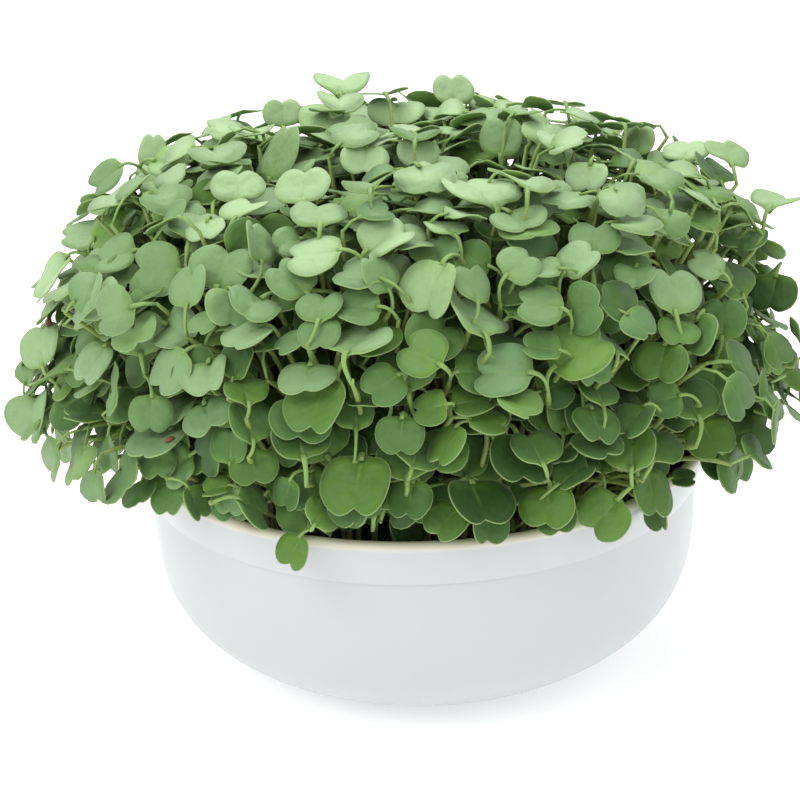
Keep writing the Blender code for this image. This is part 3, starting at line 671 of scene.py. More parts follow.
seenPairs = (
    ((548, 392), seen(553, 367, 595, 340, 556, 325, 592, 369, "bright"),
        seen(531, 372, 486, 372, 508, 340, 500, 393, "bluish")),
    ((547, 480), seen(550, 487, 545, 519, 521, 503, 577, 505, "bright"),
        seen(543, 463, 530, 438, 510, 451, 559, 443)),
    ((450, 380), seen(440, 364, 411, 347, 438, 331, 407, 375, "fresh"),
        seen(457, 371, 490, 372, 470, 347, 478, 395)),
    ((312, 529), seen(315, 524, 326, 507, 300, 511, 331, 537, "bright"),
        seen(300, 536, 289, 561, 275, 546, 304, 563, "bright")),
    ((450, 410), seen(446, 404, 420, 410, 432, 390, 436, 426, "olive"),
        seen(453, 403, 486, 400, 465, 385, 470, 416, "olive")),
)
seenLeaves = [seen(*row) for row in (
    (361, 457, 353, 503, 318, 489, 389, 491, "bright"),
    (325, 381, 310, 421, 288, 403, 346, 407, "fresh"),
    (346, 351, 368, 331, 331, 339, 390, 344, "pale"),
    (399, 374, 374, 391, 370, 365, 400, 401),
    (631, 468, 632, 435, 610, 450, 662, 445, "fresh"),
    (648, 469, 656, 507, 637, 487, 678, 490, "fresh"),
    (701, 421, 717, 449, 688, 443, 734, 422, "bright"),
    (700, 417, 684, 387, 667, 400, 718, 390),
    (402, 417, 400, 447, 375, 435, 425, 437),
    (413, 481, 407, 511, 390, 497, 435, 502),
    (472, 481, 485, 516, 449, 500, 514, 499, "dark"),
    (458, 507, 438, 529, 430, 513, 466, 536, "fresh"),
    (252, 452, 255, 478, 229, 470, 279, 463, "fresh"),
    (204, 403, 210, 423, 183, 427, 232, 399, "bluish"),
    (184, 352, 161, 382, 156, 356, 182, 381, "bluish"),
    (208, 361, 207, 385, 184, 378, 230, 360, "pale"),
    (152, 396, 150, 425, 127, 411, 172, 413),
    (172, 428, 145, 451, 129, 438, 172, 444, "bluish"),
    (33, 393, 29, 424, 7, 414, 50, 402, "bluish"),
    (105, 345, 85, 374, 75, 352, 105, 366, "bluish"),
    (179, 270, 143, 268, 158, 241, 155, 297),
    (186, 306, 192, 273, 167, 285, 199, 280),
    (134, 250, 103, 258, 115, 232, 112, 271),
    (106, 233, 70, 236, 88, 222, 86, 250),
    (216, 287, 226, 253, 190, 263, 251, 272),
    (263, 297, 247, 310, 234, 292, 280, 320),
    (340, 249, 298, 256, 318, 230, 312, 263, "pale"),
    (307, 292, 281, 270, 311, 260, 275, 288),
    (366, 250, 399, 229, 372, 216, 402, 243, "pale"),
    (443, 262, 424, 303, 414, 275, 460, 288, "bright"),
    (486, 333, 464, 297, 449, 305, 503, 318, "pale"),
    (564, 273, 587, 251, 562, 252, 588, 275, "pale"),
    (593, 253, 596, 229, 570, 238, 623, 243),
    (562, 308, 527, 302, 545, 280, 541, 320),
    (676, 312, 671, 278, 650, 289, 701, 294, "pale"),
    (722, 272, 697, 259, 717, 247, 703, 272, "pale"),
    (676, 320, 680, 339, 654, 322, 697, 325, "fresh"),
    (665, 343, 658, 374, 636, 358, 690, 364, "olive"),
    (722, 338, 723, 306, 700, 320, 749, 320),
    (592, 407, 600, 434, 575, 417, 618, 423),
    (509, 211, 525, 224, 490, 226, 542, 213),
    (207, 221, 205, 236, 185, 237, 224, 228, "pale"),
    (235, 217, 249, 202, 225, 212, 270, 212, "pale"),
    (506, 275, 527, 257, 500, 248, 532, 276),
    (776, 275, 770, 304, 750, 290, 798, 292, "dark"),
    (770, 206, 785, 196, 748, 199, 800, 205, "pale"),
    (732, 164, 724, 144, 710, 147, 752, 156, "fresh"),
    (722, 182, 706, 161, 692, 166, 726, 172, "dark"),
    (496, 204, 470, 180, 452, 189, 520, 190, "pale"),
    (590, 163, 586, 186, 565, 176, 608, 178, "pale"),
    (418, 140, 418, 160, 396, 152, 439, 154, "pale"),
    (366, 146, 364, 169, 342, 158, 391, 160, "pale"),
    (395, 99, 397, 117, 368, 108, 425, 111, "pale"),
    (121, 165, 98, 185, 100, 166, 115, 190, "dark"),
    (150, 165, 152, 140, 139, 148, 166, 150, "fresh"),
    (283, 126, 282, 104, 262, 116, 302, 114, "fresh"),
    (340, 92, 343, 76, 315, 77, 372, 79),
    (300, 203, 305, 176, 277, 190, 333, 186, "pale"),
    (238, 200, 238, 176, 210, 190, 265, 186, "pale"),
    (268, 180, 285, 136, 262, 152, 298, 158, "fresh"),
    (500, 155, 503, 125, 482, 140, 525, 142),
    (636, 155, 640, 131, 620, 142, 650, 145, "fresh"),
    (684, 160, 688, 143, 660, 152, 708, 152, "pale"),
    (42, 366, 40, 332, 18, 352, 52, 338, "pale"),
    (66, 256, 42, 292, 45, 272, 58, 290, "pale"),
    (455, 104, 452, 80, 432, 92, 474, 92),
)]

# The solids' seedlings are grown again with the same draws. A trial counts when its points
# are found in the solids.

found = {"near": 0.05 * mm}


def solidPoints():
    points = []
    for name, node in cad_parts.items():
        if name.startswith("tuft_"):
            points += [v.co for v in node.data.vertices]
    tree = KDTree(len(points))
    for i, point in enumerate(points):
        tree.insert(point, i)
    tree.balance()
    return tree


solids = solidPoints()


def isSolid(point):
    return solids.find(point)[2] < found["near"]


def hasLeaf(leaf):
    return isSolid(leafPoint(leaf, seedling["notch"], 0.0))


def hasStem(plant):         # a ring of the solid stem stands off its middle by its radius
    s = seedling
    reach = (plant["head"] - plant["root"]).length
    for part in (1 / 3, 2 / 3):
        t = (1 - (1 - part) ** s["stemSpacing"]) * (1 + s["stemRadius"] / reach)
        radius = s["stemRadius"] * (1 + (s["stemFlare"] - 1) * t ** s["stemFlarePower"])
        if abs(solids.find(stemPoint(plant, t))[2] - radius) > found["near"]:
            return False
    return True


def sownTufts():
    s = seedling
    tufts = []
    for number in range(s["tufts"]):
        share = (number + 0.5) / s["tufts"]
        turn = number * pi * (3 - sqrt(5))      # golden angle, for an even spread
        out = Vector((cos(turn), sin(turn), 0.0))
        crown = out * s["rootField"] * sqrt(share) + Vector((0, 0, s["soilTop"]))
        free = []
        for member in range(s["tuftSize"]):
            around = Matrix.Rotation(member * 2 * pi / s["tuftSize"], 3, "Z") @ out
            free.append(crown + around * s["stemSpread"] - Vector((0, 0, s["stemSink"])))
        tufts.append({"share": share, "turn": turn, "crown": crown, "free": free, "plants": []})
    return tufts


def rootChoice(rng, tufts, head):
    def miss(tuft):
        return (tuft["crown"].xy * seedling["leanOut"] - head.xy).length

    ranked = sorted((t for t in tufts if t["free"]), key=miss)
    tuft = rng.choice(ranked[:seedling["rootChoices"]])
    return tuft, rng.choice(tuft["free"])


def placeSeen():
    s = seedling
    groups = [(head, pair) for head, *pair in seenPairs]
    groups += [(None, [marks]) for marks in seenLeaves]
    plants = []
    for number, (mark, group) in enumerate(groups):
        rng = random.Random(number)
        plant = {"mark": mark, "rng": rng, "leaves": [], "group": group}
        for marks in group:
            distance = canopyDistance(middleRay(marks))
            curl = (rng.uniform(*s["seenCup"]), rng.uniform(*s["seenSag"]))
            for push in range(s["pushes"]):
                leaf = seenBlade(marks, distance + push * s["push"], curl)
                if hasLeaf(leaf):
                    plant["leaves"].append(leaf)
                    break
        plants.append(plant)
    return plants


def headOfPair(rng, plant):
    ray = viewRay(plant["mark"])
    depth = sum((leaf["foot"] - viewEye).dot(ray) for leaf in plant["leaves"]) / 2
    return viewEye + ray * (depth + rng.uniform(0.0, seedling["pairDepth"]))


def headOfLeaf(rng, leaf):
    s = seedling
    bend = radians(rng.uniform(*s["seenBend"]))
    turn = Matrix.Rotation(radians(rng.uniform(-s["seenTurn"], s["seenTurn"])), 3, leaf["normal"])
    way = turn @ leaf["ahead"] * cos(bend) + leaf["normal"] * sin(bend)
    return leaf["foot"] - way * rng.uniform(*s["stalk"])


def otherLeaf(rng, head, leaf):
    tilt = radians(rng.uniform(*seedling["seenTilt"]))
    ahead = leaf["ahead"] * cos(tilt) - leaf["normal"] * sin(tilt)
    normal = leaf["normal"] * cos(tilt) + leaf["ahead"] * sin(tilt)
    axes = Matrix((-ahead, normal.cross(-ahead), normal)).transposed()
    return randomLeaf(rng, head, axes, seedling["otherYaw"])


def growSeen(plant, tufts):
    rng = plant["rng"]
    first = plant["leaves"][0]
    for attempt in range(seedling["tries"] + seedling["loneTries"]):
        head = headOfPair(rng, plant) if plant["mark"] else headOfLeaf(rng, first)
        for leaf in plant["leaves"]:
            startStalk(leaf, head)
        tuft, root = rootChoice(rng, tufts, head)
        trial = {
            "root": root,
            "head": head,
            "arrive": (stemArrival(rng, head) + first["normal"]).normalized(),
            "leaves": list(plant["leaves"]),
        }
        if not plant["mark"] and attempt < seedling["tries"]:
            trial["leaves"].append(otherLeaf(rng, head, first))
            if not hasLeaf(trial["leaves"][1]):
                continue
        if hasStem(trial):
            tuft["free"].remove(root)
            tuft["plants"].append(trial)
            return True
    return False


def freeSeedling(rng, root, spot, facing):
    s = seedling
    drift = Vector([rng.uniform(-1, 1) for _ in range(3)]) * s["headDrift"]
    head = spot - facing * rng.uniform(0.0, s["headDepth"]) + drift
    facing, out = canopyFacing(head)
    attitude = s["pairRise"] + asin(min(1.0, facing.z)) * s["pairShare"]
    wobble = Vector([rng.uniform(-1, 1) for _ in range(3)]) * s["wobble"]
    normal = (out * cos(attitude) + Vector((0, 0, sin(attitude))) + wobble).normalized()
    along = Matrix.Rotation(rng.uniform(0, 2 * pi), 3, normal) @ normal.orthogonal().normalized()
    axes = Matrix((along, normal.cross(along), normal)).transposed()
    return {
        "root": root,
        "head": head,
        "arrive": stemArrival(rng, head),
        "leaves": [
            randomLeaf(rng, head, axes, s["freeYaw"]),
            randomLeaf(rng, head, axes @ Matrix.Rotation(pi, 3, "Z"), s["freeYaw"]),
        ],
    }


def growFree(rng, tuft, table):
    spot, facing = canopyPlace(table, tuft["share"], tuft["turn"])[:2]
    across = facing.orthogonal().normalized()
    first = rng.uniform(0, 2 * pi)
    for member, root in enumerate(list(tuft["free"])):
        turn = first + member * 2 * pi / seedling["tuftSize"]
        around = Matrix.Rotation(turn, 3, facing) @ across
        for _ in range(seedling["tries"]):
            trial = freeSeedling(rng, root, spot + around * seedling["tuftSpread"], facing)
            if hasLeaf(trial["leaves"][0]) and hasStem(trial):
                tuft["plants"].append(trial)
                break


table = canopyTable(canopy)
tufts = sownTufts()
left = []                   # marks of the seen leaves that the solids have no room for
for plant in placeSeen():
    if len(plant["leaves"]) < len(plant["group"]) or not growSeen(plant, tufts):
        left += plant["group"]
for number, tuft in reversed(list(enumerate(tufts, 1))):
    growFree(random.Random(-number), tuft, table)
print("seedlings of the solids:", sum(len(t["plants"]) for t in tufts))
print("marks left to add:", len(left))

# A fine leaf, stalk and stem, each modelled once

leafShape = {
    "edge": (               # half outline from the foot to the notch: along, across
        (-0.05, 0.0), (-0.035, 0.065), (0.0, 0.17), (0.02, 0.29), (0.11, 0.405), (0.26, 0.475),
        (0.43, 0.5), (0.6, 0.49), (0.76, 0.44), (0.9, 0.345), (0.98, 0.22), (0.94, 0.09),
        (0.85, 0.0),
    ),
    "heart": 0.45,
    "wall": 0.02,               # of the model, before it is shaped
    "apart": 10.0,              # the stalk is modelled this far above the blade
    "thickness": 0.36 * mm,
    "forWidth": 14.0 * mm,      # leaf width that the stalk's widths are for
    "stalkWidth": (1.5 * mm, 1.0 * mm),     # at the blade and at the stem
    "stalkThickness": (0.6 * mm, 0.9 * mm),
    "stalkTaper": 0.6,
    "stalkBend": 0.45,
    "stalkInset": 0.06,         # how far the stalk runs into the blade
}
stemShape = {
    "sunk": 2.5 * mm,           # below its root
    "past": 0.6,                # past its head, in radii
    "low": 0.25,                # thicker by this at the root
    "lowPower": 4,
    "end": 0.55,                # rounded end under the leaves
}


def edgePoint(turn):        # the outline at a turn about the leaf's heart, 0 at the foot
    edge = leafShape["edge"]
    last = len(edge) - 1
    ring = list(edge) + [(a, -c) for a, c in reversed(edge[1:-1])]
    place = (turn / (2 * pi)) % 1 * len(ring)
    i = int(place)
    t = place - i
    p = [np.array(ring[(i + k) % len(ring)]) for k in (-1, 0, 1, 2)]
    if i in (last, last - 1) or i in (0, len(ring) - 1):      # sharp at the notch and the foot
        return p[1] * (1 - t) + p[2] * t
    return 0.5 * (2 * p[1] + (p[2] - p[0]) * t + (2 * p[0] - 5 * p[1] + 4 * p[2] - p[3]) * t * t
                  + (3 * p[1] - p[0] - 3 * p[2] + p[3]) * t ** 3)


def leafTemplate(sides, insets, stalkSides, stalkRings):
    apart = leafShape["apart"]
    bpy.ops.mesh.primitive_circle_add(vertices=sides, radius=1, fill_type="NGON")
    blade = startPiece("blade")
    bpy.ops.mesh.select_mode(type="FACE")
    for thickness in insets:
        bpy.ops.mesh.inset(thickness=thickness)
    bpy.ops.mesh.poke()
    bpy.ops.object.mode_set(mode="OBJECT")
    wall = blade.modifiers.new("wall", "SOLIDIFY")
    wall.thickness = leafShape["wall"]
    wall.offset = 0
    bpy.ops.object.modifier_apply(modifier=wall.name)
    bpy.ops.mesh.primitive_circle_add(vertices=stalkSides, radius=0.5, fill_type="NGON")
    stalk = startPiece("stalk")
    pullUp(stalkRings, apart)
    bpy.ops.object.mode_set(mode="OBJECT")
    for vert in stalk.data.vertices:        # told from the blade by its height
        vert.co.z += apart
    joinPieces(blade, stalk)
    bpy.ops.object.mode_set(mode="EDIT")
    leaveEdit()
    bpy.ops.object.shade_smooth()
    co = np.array([v.co for v in blade.data.vertices])
    onStalk = co[:, 2] > apart / 2
    radius = np.hypot(co[:, 0], co[:, 1])
    spin = np.arctan2(co[:, 1], co[:, 0])
    edge = np.array([edgePoint(pi - turn) for turn in spin])
    heart = np.array([leafShape["heart"], 0.0])
    flat = heart + (edge - heart) * radius[:, None]
    return {
        "object": blade,
        "onStalk": onStalk,
        "along": np.where(onStalk, -(co[:, 2] - apart) / apart, flat[:, 0]),
        "across": np.where(onStalk, co[:, 0], flat[:, 1]),
        "up": np.where(onStalk, co[:, 1], np.sign(co[:, 2]) * 0.5),
        "radius": np.where(onStalk, 0.0, radius),
        "spin": spin,
    }


def stemTemplate(sides, rings):
    bpy.ops.mesh.primitive_circle_add(vertices=sides, radius=1, fill_type="NGON")
    stem = startPiece("stem")
    pullUp(rings, 1)
    leaveEdit()
    bpy.ops.object.shade_smooth()
    return {"object": stem, "co": np.array([v.co for v in stem.data.vertices]), "rings": rings}


fineLeaf = leafTemplate(sides=40, insets=(0.3, 0.35), stalkSides=8, stalkRings=6)
plainLeaf = leafTemplate(sides=20, insets=(), stalkSides=4, stalkRings=2)
fineStem = stemTemplate(sides=8, rings=14)
plainStem = stemTemplate(sides=5, rings=8)

curlShape = {
    "wave": 0.09,           # saddle wave of the margin, as a share of the length
    "ripple": 0.03,
    "ripples": 5,
    "fold": (-0.05, 0.26),  # crease along the midrib
    "foldHeart": 0.4,
    "droop": 0.22,          # one side hangs, as a share of half the width
    "channel": 0.05,        # dip along the midrib near the foot
    "channelWidth": 0.07,
}

# the pale and bluish tones are partly the waxy bloom and partly painted sky light; the dark tone
# is painted shade
tonesAndLight = {                   # blue bloom, lightness, youth
    "plain": (0.3, 0.0, 0.1),
    "bluish": (1.0, 0.25, 0.0),
    "bright": (0.0, 0.2, 0.6),
    "fresh": (0.1, 0.05, 0.4),
    "pale": (0.7, 0.45, 0.1),
    "dark": (0.2, -0.6, 0.0),
    "olive": (0.0, -0.2, 0.6),
}
toneSpread = {              # of the leaves that have no tone of their own
    "bloom": (0.0, 0.7),
    "light": (-0.55, 0.4),
    "youth": 0.85,
    "each": 0.1,            # of the lightness of every leaf
}
paintedLightAndShade = {                # painted shade and light: low leaves are darker, and those near the top paler and bluer
    "from": 84.0 * mm,
    "over": 50.0 * mm,
    "low": -0.48,
    "light": 1.14,
    "most": 1.0,                # of the lightness
    "far": 0.75,                # more of the painted light at the back of the top
    "farOver": 55.0 * mm,
    "bloom": 0.28,
    "inner": 0.8,               # painted shade: leaves inside the dome are darker
    "left": 0.8,                # and painted light: those at its left edge are lighter
    "leftFrom": 30.0 * mm,
    "leftOver": 45.0 * mm,
}


def copyShape(template, name, points, place, tint):
    made = copyOf(template["object"], name)
    mesh = made.data
    mesh.vertices.foreach_set("co", points.astype(np.float32).ravel())
    for label, values in (("leafPlace", place), ("leafTint", tint)):
        data = mesh.attributes.new(label, "FLOAT_VECTOR", "POINT")
        data.data.foreach_set("vector", values.astype(np.float32).ravel())
    return made


def leafTint(rng, leaf, up):        # bloom, lightness and youth, the last below -1 underneath; bloom and lightness hold painted light and shade as well as the leaf's own tone
    if leaf["tone"]:
        bloom, light, youth = tonesAndLight[leaf["tone"]]
    else:
        bloom = rng.uniform(*toneSpread["bloom"])
        light = rng.uniform(*toneSpread["light"])
        youth = toneSpread["youth"] * rng.uniform(0, 1) ** 2
    x, y, z = leaf["foot"]
    # painted light and shade by place: high leaves paler and bluer, low ones and those inside the
    # dome darker, those at the left edge and at the back of the top lighter
    high = clamp((z - paintedLightAndShade["from"]) / paintedLightAndShade["over"])
    aside = clamp((-x - paintedLightAndShade["leftFrom"]) / paintedLightAndShade["leftOver"])
    behind = clamp(y / paintedLightAndShade["farOver"])
    shade = light + rng.uniform(-toneSpread["each"], toneSpread["each"])
    shade = shade + paintedLightAndShade["low"] + paintedLightAndShade["light"] * high
    shade -= paintedLightAndShade["inner"] * max(0.0, 1 - canopyFullness(leaf["foot"]))
    shade += paintedLightAndShade["left"] * aside * (1 - high)
    shade = min(shade + paintedLightAndShade["far"] * behind * high, paintedLightAndShade["most"])
    return np.column_stack([np.full(len(up), bloom + paintedLightAndShade["bloom"] * high),
                            np.full(len(up), shade),
                            np.where(up < 0, -1.0 - youth, youth)])


def makeLeaf(rng, template, leaf):
    t = template
    length, width = leaf["length"], leaf["width"]
    foot, head = np.array(leaf["foot"]), np.array(leaf["start"])
    ahead, side, normal = (np.array(leaf[k]) for k in ("ahead", "side", "normal"))
    along, across, up, radius = t["along"], t["across"], t["up"], t["radius"]
    wave = rng.uniform(-1, 1) * curlShape["wave"]
    ripple = rng.uniform(-1, 1) * curlShape["ripple"]
    first, second = rng.uniform(0, 2 * pi), rng.uniform(0, 2 * pi)
    fold = rng.uniform(*curlShape["fold"])
    rise = leaf["cup"] * (2 * across) ** 2 * width / 2 - leaf["sag"] * along ** 2 * length
    heart = curlShape["foldHeart"] * radius
    rise += (fold * (np.abs(2 * across) - heart) * width / 2) * radius
    rise += wave * length * np.sin(2 * t["spin"] + first) * radius ** 2
    lean = rng.uniform(-1, 1) * curlShape["droop"]
    rise -= abs(lean) * np.clip(2 * across * np.sign(lean), 0, None) ** 2 * width / 2
    dip = np.exp(-(across / curlShape["channelWidth"]) ** 2)
    rise -= curlShape["channel"] * width * dip * np.clip(1 - along, 0, 1)
    rise += ripple * length * np.sin(curlShape["ripples"] * t["spin"] + second) * radius ** 3
    rise += up * leafShape["thickness"]
    blade = foot + np.outer(along * length, ahead) + np.outer(across * width, side)
    blade += np.outer(rise, normal)
    down = np.clip(-along, 0, 1)        # along the stalk, from the blade to the stem
    bend = foot - ahead * leaf["stalk"] * leafShape["stalkBend"]
    inside = foot + ahead * length * leafShape["stalkInset"]
    middle = (np.outer((1 - down) ** 2, inside) + np.outer(2 * down * (1 - down), bend)
              + np.outer(down ** 2, head))
    tangent = (np.outer(2 * (1 - down), bend - inside) + np.outer(2 * down, head - bend))
    tangent /= np.linalg.norm(tangent, axis=1)[:, None]
    lift = np.cross(side, tangent)
    lift /= np.linalg.norm(lift, axis=1)[:, None]
    wide0, wide1 = leafShape["stalkWidth"]
    thick0, thick1 = leafShape["stalkThickness"]
    scale = width / leafShape["forWidth"]
    wide = (wide0 + (wide1 - wide0) * down ** leafShape["stalkTaper"]) * scale
    thick = thick0 + (thick1 - thick0) * down
    stalk = middle + side * (across * wide)[:, None] - lift * (up * thick)[:, None]
    points = np.where(t["onStalk"][:, None], stalk, blade)
    place = np.column_stack([along, 2 * across * (1 - t["onStalk"]), radius])
    return copyShape(t, "leaf", points, place, leafTint(rng, leaf, up))


def makeStem(rng, template, plant):
    s = seedling
    co = template["co"]
    rings = template["rings"]
    rise = plant["head"] - plant["root"]
    reach = rise.length
    side = np.array(rise.cross(Vector((0, 0, 1))).normalized())
    sunk = stemShape["sunk"] / reach
    steps = np.linspace(-sunk, 1 + s["stemRadius"] * stemShape["past"] / reach, rings + 1)
    centres = np.array([stemPoint(plant, max(t, 0.0)) + Vector((0, 0, min(t, 0.0) * reach))
                        for t in steps])
    tangent = np.gradient(centres, axis=0)
    tangent /= np.linalg.norm(tangent, axis=1)[:, None]
    front = np.cross(tangent, side)
    front /= np.linalg.norm(front, axis=1)[:, None]
    level = np.cross(front, tangent)
    ring = np.rint(co[:, 2] * rings).astype(int)
    thick = s["girth"] * (1 + (s["stemFlare"] - 1) * np.clip(steps, 0, 1) ** s["stemFlarePower"])
    thick *= 1 + stemShape["low"] * (1 - np.clip(steps, 0, 1)) ** stemShape["lowPower"]
    thick[-1] *= stemShape["end"]
    around = level[ring] * co[:, :1] + front[ring] * co[:, 1:2]
    points = centres[ring] + around * thick[ring][:, None]
    place = np.column_stack([steps[ring], co[:, 0], np.ones(len(co))])
    tint = np.tile([rng.random(), rng.random(), rng.random()], (len(co), 1))
    return copyShape(template, "stem", points, place, tint)


# Leaf and stem finishes

leafLook = {
    "green": "4B712E",
    "bloom": "668B5A",
    "young": "759E3A",
    "deep": "2D4D1B",
    "pale": "ABC895",
    "rib": "86A65C",
    "edge": "ABC585",
    "under": "729648",
    "grain": 0.35,          # mm, fine dots of the leaf's skin
    "grainBump": (0.35, 0.08 * mm),     # strength and depth
    "speck": (0.88, 1.12),
    "patch": 4.0,           # mm, soft patches of bloom
    "swell": 3.0,           # mm, shallow swellings between the veins
    "swellBump": (0.8, 0.7 * mm),
    # each leaf's lightness, which holds painted shade and painted light as well as its own tone,
    # takes it this far towards the deep and the pale greens
    "darken": 0.9,
    "lighten": 0.85,
    "below": 0.8,           # how far the underside takes its own green
    "fades": {              # starts at, full at, most, and how it runs
        "mottle": (0.35, 0.7, 0.3, "LINEAR"),
        "foot": (0.3, -0.05, 0.45, "SMOOTHSTEP"),
        "near": (0.08, 0.0, 0.45, "SMOOTHSTEP"),
        "reach": (0.68, 0.1, 1.0, "SMOOTHSTEP"),
        "stalk": (0.02, -0.12, 1.0, "LINEAR"),
        "rim": (0.965, 0.99, 0.4, "LINEAR"),
    },
    "roughness": 0.55,
    "refraction": 1.4,         # index of refraction
    "shine": 0.35,
    "wax": "DCE8E2",
    "sheen": (0.12, 0.45),  # weight and roughness
}
stemLook = {
    "low": "A3A36C",
    "high": "819B50",
    "red": "A8775A",
    "redChance": (0.6, 1.0, 0.8),       # none up to, full from, and most
    "redHeight": (0.5, 0.1),
    "fleck": 1.2,           # mm, faint flecks along the stem
    "speck": (0.82, 1.18),
    "roughness": 0.4,
    "refraction": 1.4,
}


def makeLeafSkin(look):
    skin = newMaterial("cotyledonSkin")     # waxy leaf skin: matt, with a blue-white bloom, and painted light and shade carried in each leaf's tint
    place = addNode(skin, "ShaderNodeAttribute", attribute_name="leafPlace")
    tint = addNode(skin, "ShaderNodeAttribute", attribute_name="leafTint")
    where = addNode(skin, "ShaderNodeSeparateXYZ", {"Vector": place.outputs["Vector"]})
    kind = addNode(skin, "ShaderNodeSeparateXYZ", {"Vector": tint.outputs["Vector"]})
    along, across, radius = (where.outputs[k] for k in ("X", "Y", "Z"))
    bloom, shade, youth = (kind.outputs[k] for k in ("X", "Y", "Z"))
    spot = addNode(skin, "ShaderNodeTexCoord").outputs["Object"]
    grain, patch, swell = (
        addNode(skin, "ShaderNodeTexNoise", {
            "Vector": spot, "Scale": 1 / (look[name] * mm), "Detail": detail,
        }).outputs["Fac"] for name, detail in (("grain", 2.0), ("patch", 1.0), ("swell", 1.0)))
    below = addNode(skin, "ShaderNodeMath", {0: youth, 1: -0.5}, operation="LESS_THAN").outputs[0]
    size = addNode(skin, "ShaderNodeMath", {0: youth}, operation="ABSOLUTE").outputs[0]
    age = addNode(skin, "ShaderNodeMath", {0: size, 1: below}, operation="SUBTRACT").outputs[0]
    off = addNode(skin, "ShaderNodeMath", {0: across}, operation="ABSOLUTE").outputs[0]
    fade = {}
    for name, value in (("mottle", patch), ("foot", along), ("near", off), ("reach", along),
                        ("stalk", along), ("rim", radius)):
        low, high, most, run = look["fades"][name]
        fade[name] = addNode(skin, "ShaderNodeMapRange", {
            "Value": value, "From Min": low, "From Max": high, "To Max": most,
        }, interpolation_type=run).outputs["Result"]
    # painted shade and painted light: the leaf's lightness mixes in the deep or the pale green
    dark, light, under, rib = (
        addNode(skin, "ShaderNodeMath", {0: one, 1: other}, operation="MULTIPLY").outputs[0]
        for one, other in ((shade, -look["darken"]), (shade, look["lighten"]),
                           (below, look["below"]), (fade["near"], fade["reach"])))
    colour = hexColour(look["green"])
    for share, name in ((bloom, "bloom"), (age, "young"), (fade["mottle"], "bloom"),
                        (dark, "deep"), (light, "pale"), (under, "under"),
                        (fade["foot"], "young"), (rib, "rib"), (fade["stalk"], "rib"),
                        (fade["rim"], "edge")):
        colour = addNode(skin, "ShaderNodeMix", {0: share, 6: colour, 7: hexColour(look[name])},
                         data_type="RGBA").outputs[2]
    bump = addNode(skin, "ShaderNodeBump", {
        "Height": swell, "Strength": look["swellBump"][0], "Distance": look["swellBump"][1],
    }).outputs["Normal"]
    bump = addNode(skin, "ShaderNodeBump", {
        "Height": grain, "Strength": look["grainBump"][0], "Distance": look["grainBump"][1],
        "Normal": bump,
    }).outputs["Normal"]
    speck = addNode(skin, "ShaderNodeMapRange", {
        "Value": grain, "To Min": look["speck"][0], "To Max": look["speck"][1],
    }).outputs["Result"]
    colour = addNode(skin, "ShaderNodeMix", {0: 1.0, 6: colour, 7: speck},
                     data_type="RGBA", blend_type="MULTIPLY").outputs[2]
    return finishMaterial(skin, addNode(skin, "ShaderNodeBsdfPrincipled", {
        "Base Color": colour, "Roughness": look["roughness"], "IOR": look["refraction"],
        "Specular IOR Level": look["shine"], "Sheen Weight": look["sheen"][0],
        "Sheen Roughness": look["sheen"][1], "Sheen Tint": hexColour(look["wax"]),
        "Normal": bump,
    }))


def makeStemSkin(look):
    skin = newMaterial("seedlingStem")      # smooth pale stem, reddened low down on some
    firsts = []
    for name in ("leafPlace", "leafTint"):
        both = addNode(skin, "ShaderNodeAttribute", attribute_name=name).outputs["Vector"]
        firsts.append(addNode(skin, "ShaderNodeSeparateXYZ", {"Vector": both}).outputs["X"])
    height, chance = firsts
    none, full, most = look["redChance"]
    some = addNode(skin, "ShaderNodeMapRange", {
        "Value": chance, "From Min": none, "From Max": full, "To Max": most,
    }).outputs["Result"]
    low = addNode(skin, "ShaderNodeMapRange", {
        "Value": height, "From Min": look["redHeight"][0], "From Max": look["redHeight"][1],
    }).outputs["Result"]
    red = addNode(skin, "ShaderNodeMath", {0: some, 1: low}, operation="MULTIPLY").outputs[0]
    colour = addNode(skin, "ShaderNodeMix", {
        0: height, 6: hexColour(look["low"]), 7: hexColour(look["high"]),
    }, data_type="RGBA").outputs[2]
    colour = addNode(skin, "ShaderNodeMix", {0: red, 6: colour, 7: hexColour(look["red"])},
                     data_type="RGBA").outputs[2]
    spot = addNode(skin, "ShaderNodeTexCoord").outputs["Object"]
    fleck = addNode(skin, "ShaderNodeTexNoise",
                    {"Vector": spot, "Scale": 1 / (look["fleck"] * mm)}).outputs["Fac"]
    speck = addNode(skin, "ShaderNodeMapRange", {
        "Value": fleck, "To Min": look["speck"][0], "To Max": look["speck"][1],
    }).outputs["Result"]
    colour = addNode(skin, "ShaderNodeMix", {0: 1.0, 6: colour, 7: speck},
                     data_type="RGBA", blend_type="MULTIPLY").outputs[2]
    return finishMaterial(skin, addNode(skin, "ShaderNodeBsdfPrincipled", {
        "Base Color": colour, "Roughness": look["roughness"], "IOR": look["refraction"],
    }))


fineLeaf["object"].data.materials.append(makeLeafSkin(leafLook))
plainLeaf["object"].data.materials.append(fineLeaf["object"].data.materials[0])
fineStem["object"].data.materials.append(makeStemSkin(stemLook))
plainStem["object"].data.materials.append(fineStem["object"].data.materials[0])


def makeSeedling(rng, plant):
    leaf, stem = (fineLeaf, fineStem) if plant.get("fine") else (plainLeaf, plainStem)
    return [makeStem(rng, stem, plant)] + [makeLeaf(rng, leaf, one) for one in plant["leaves"]]


def makePiece(name, plants, seed, *nodes):
    rng = random.Random(seed)
    parts = [part for plant in plants for part in makeSeedling(rng, plant)]
    piece = joinPieces(*parts)
    piece.name = name
    endPiece(piece, *nodes)


for number, tuft in enumerate(tufts, 1):
    for plant in tuft["plants"]:
        plant["fine"] = plant["leaves"][0]["tone"] is not None
    makePiece(f"seedlingsTuft{number:02d}", tuft["plants"], number, f"tuft_{number:02d}")
print("seedlings of the solids made")

# The rest of the seedlings: more leaves marked in the front view, then a fill among them

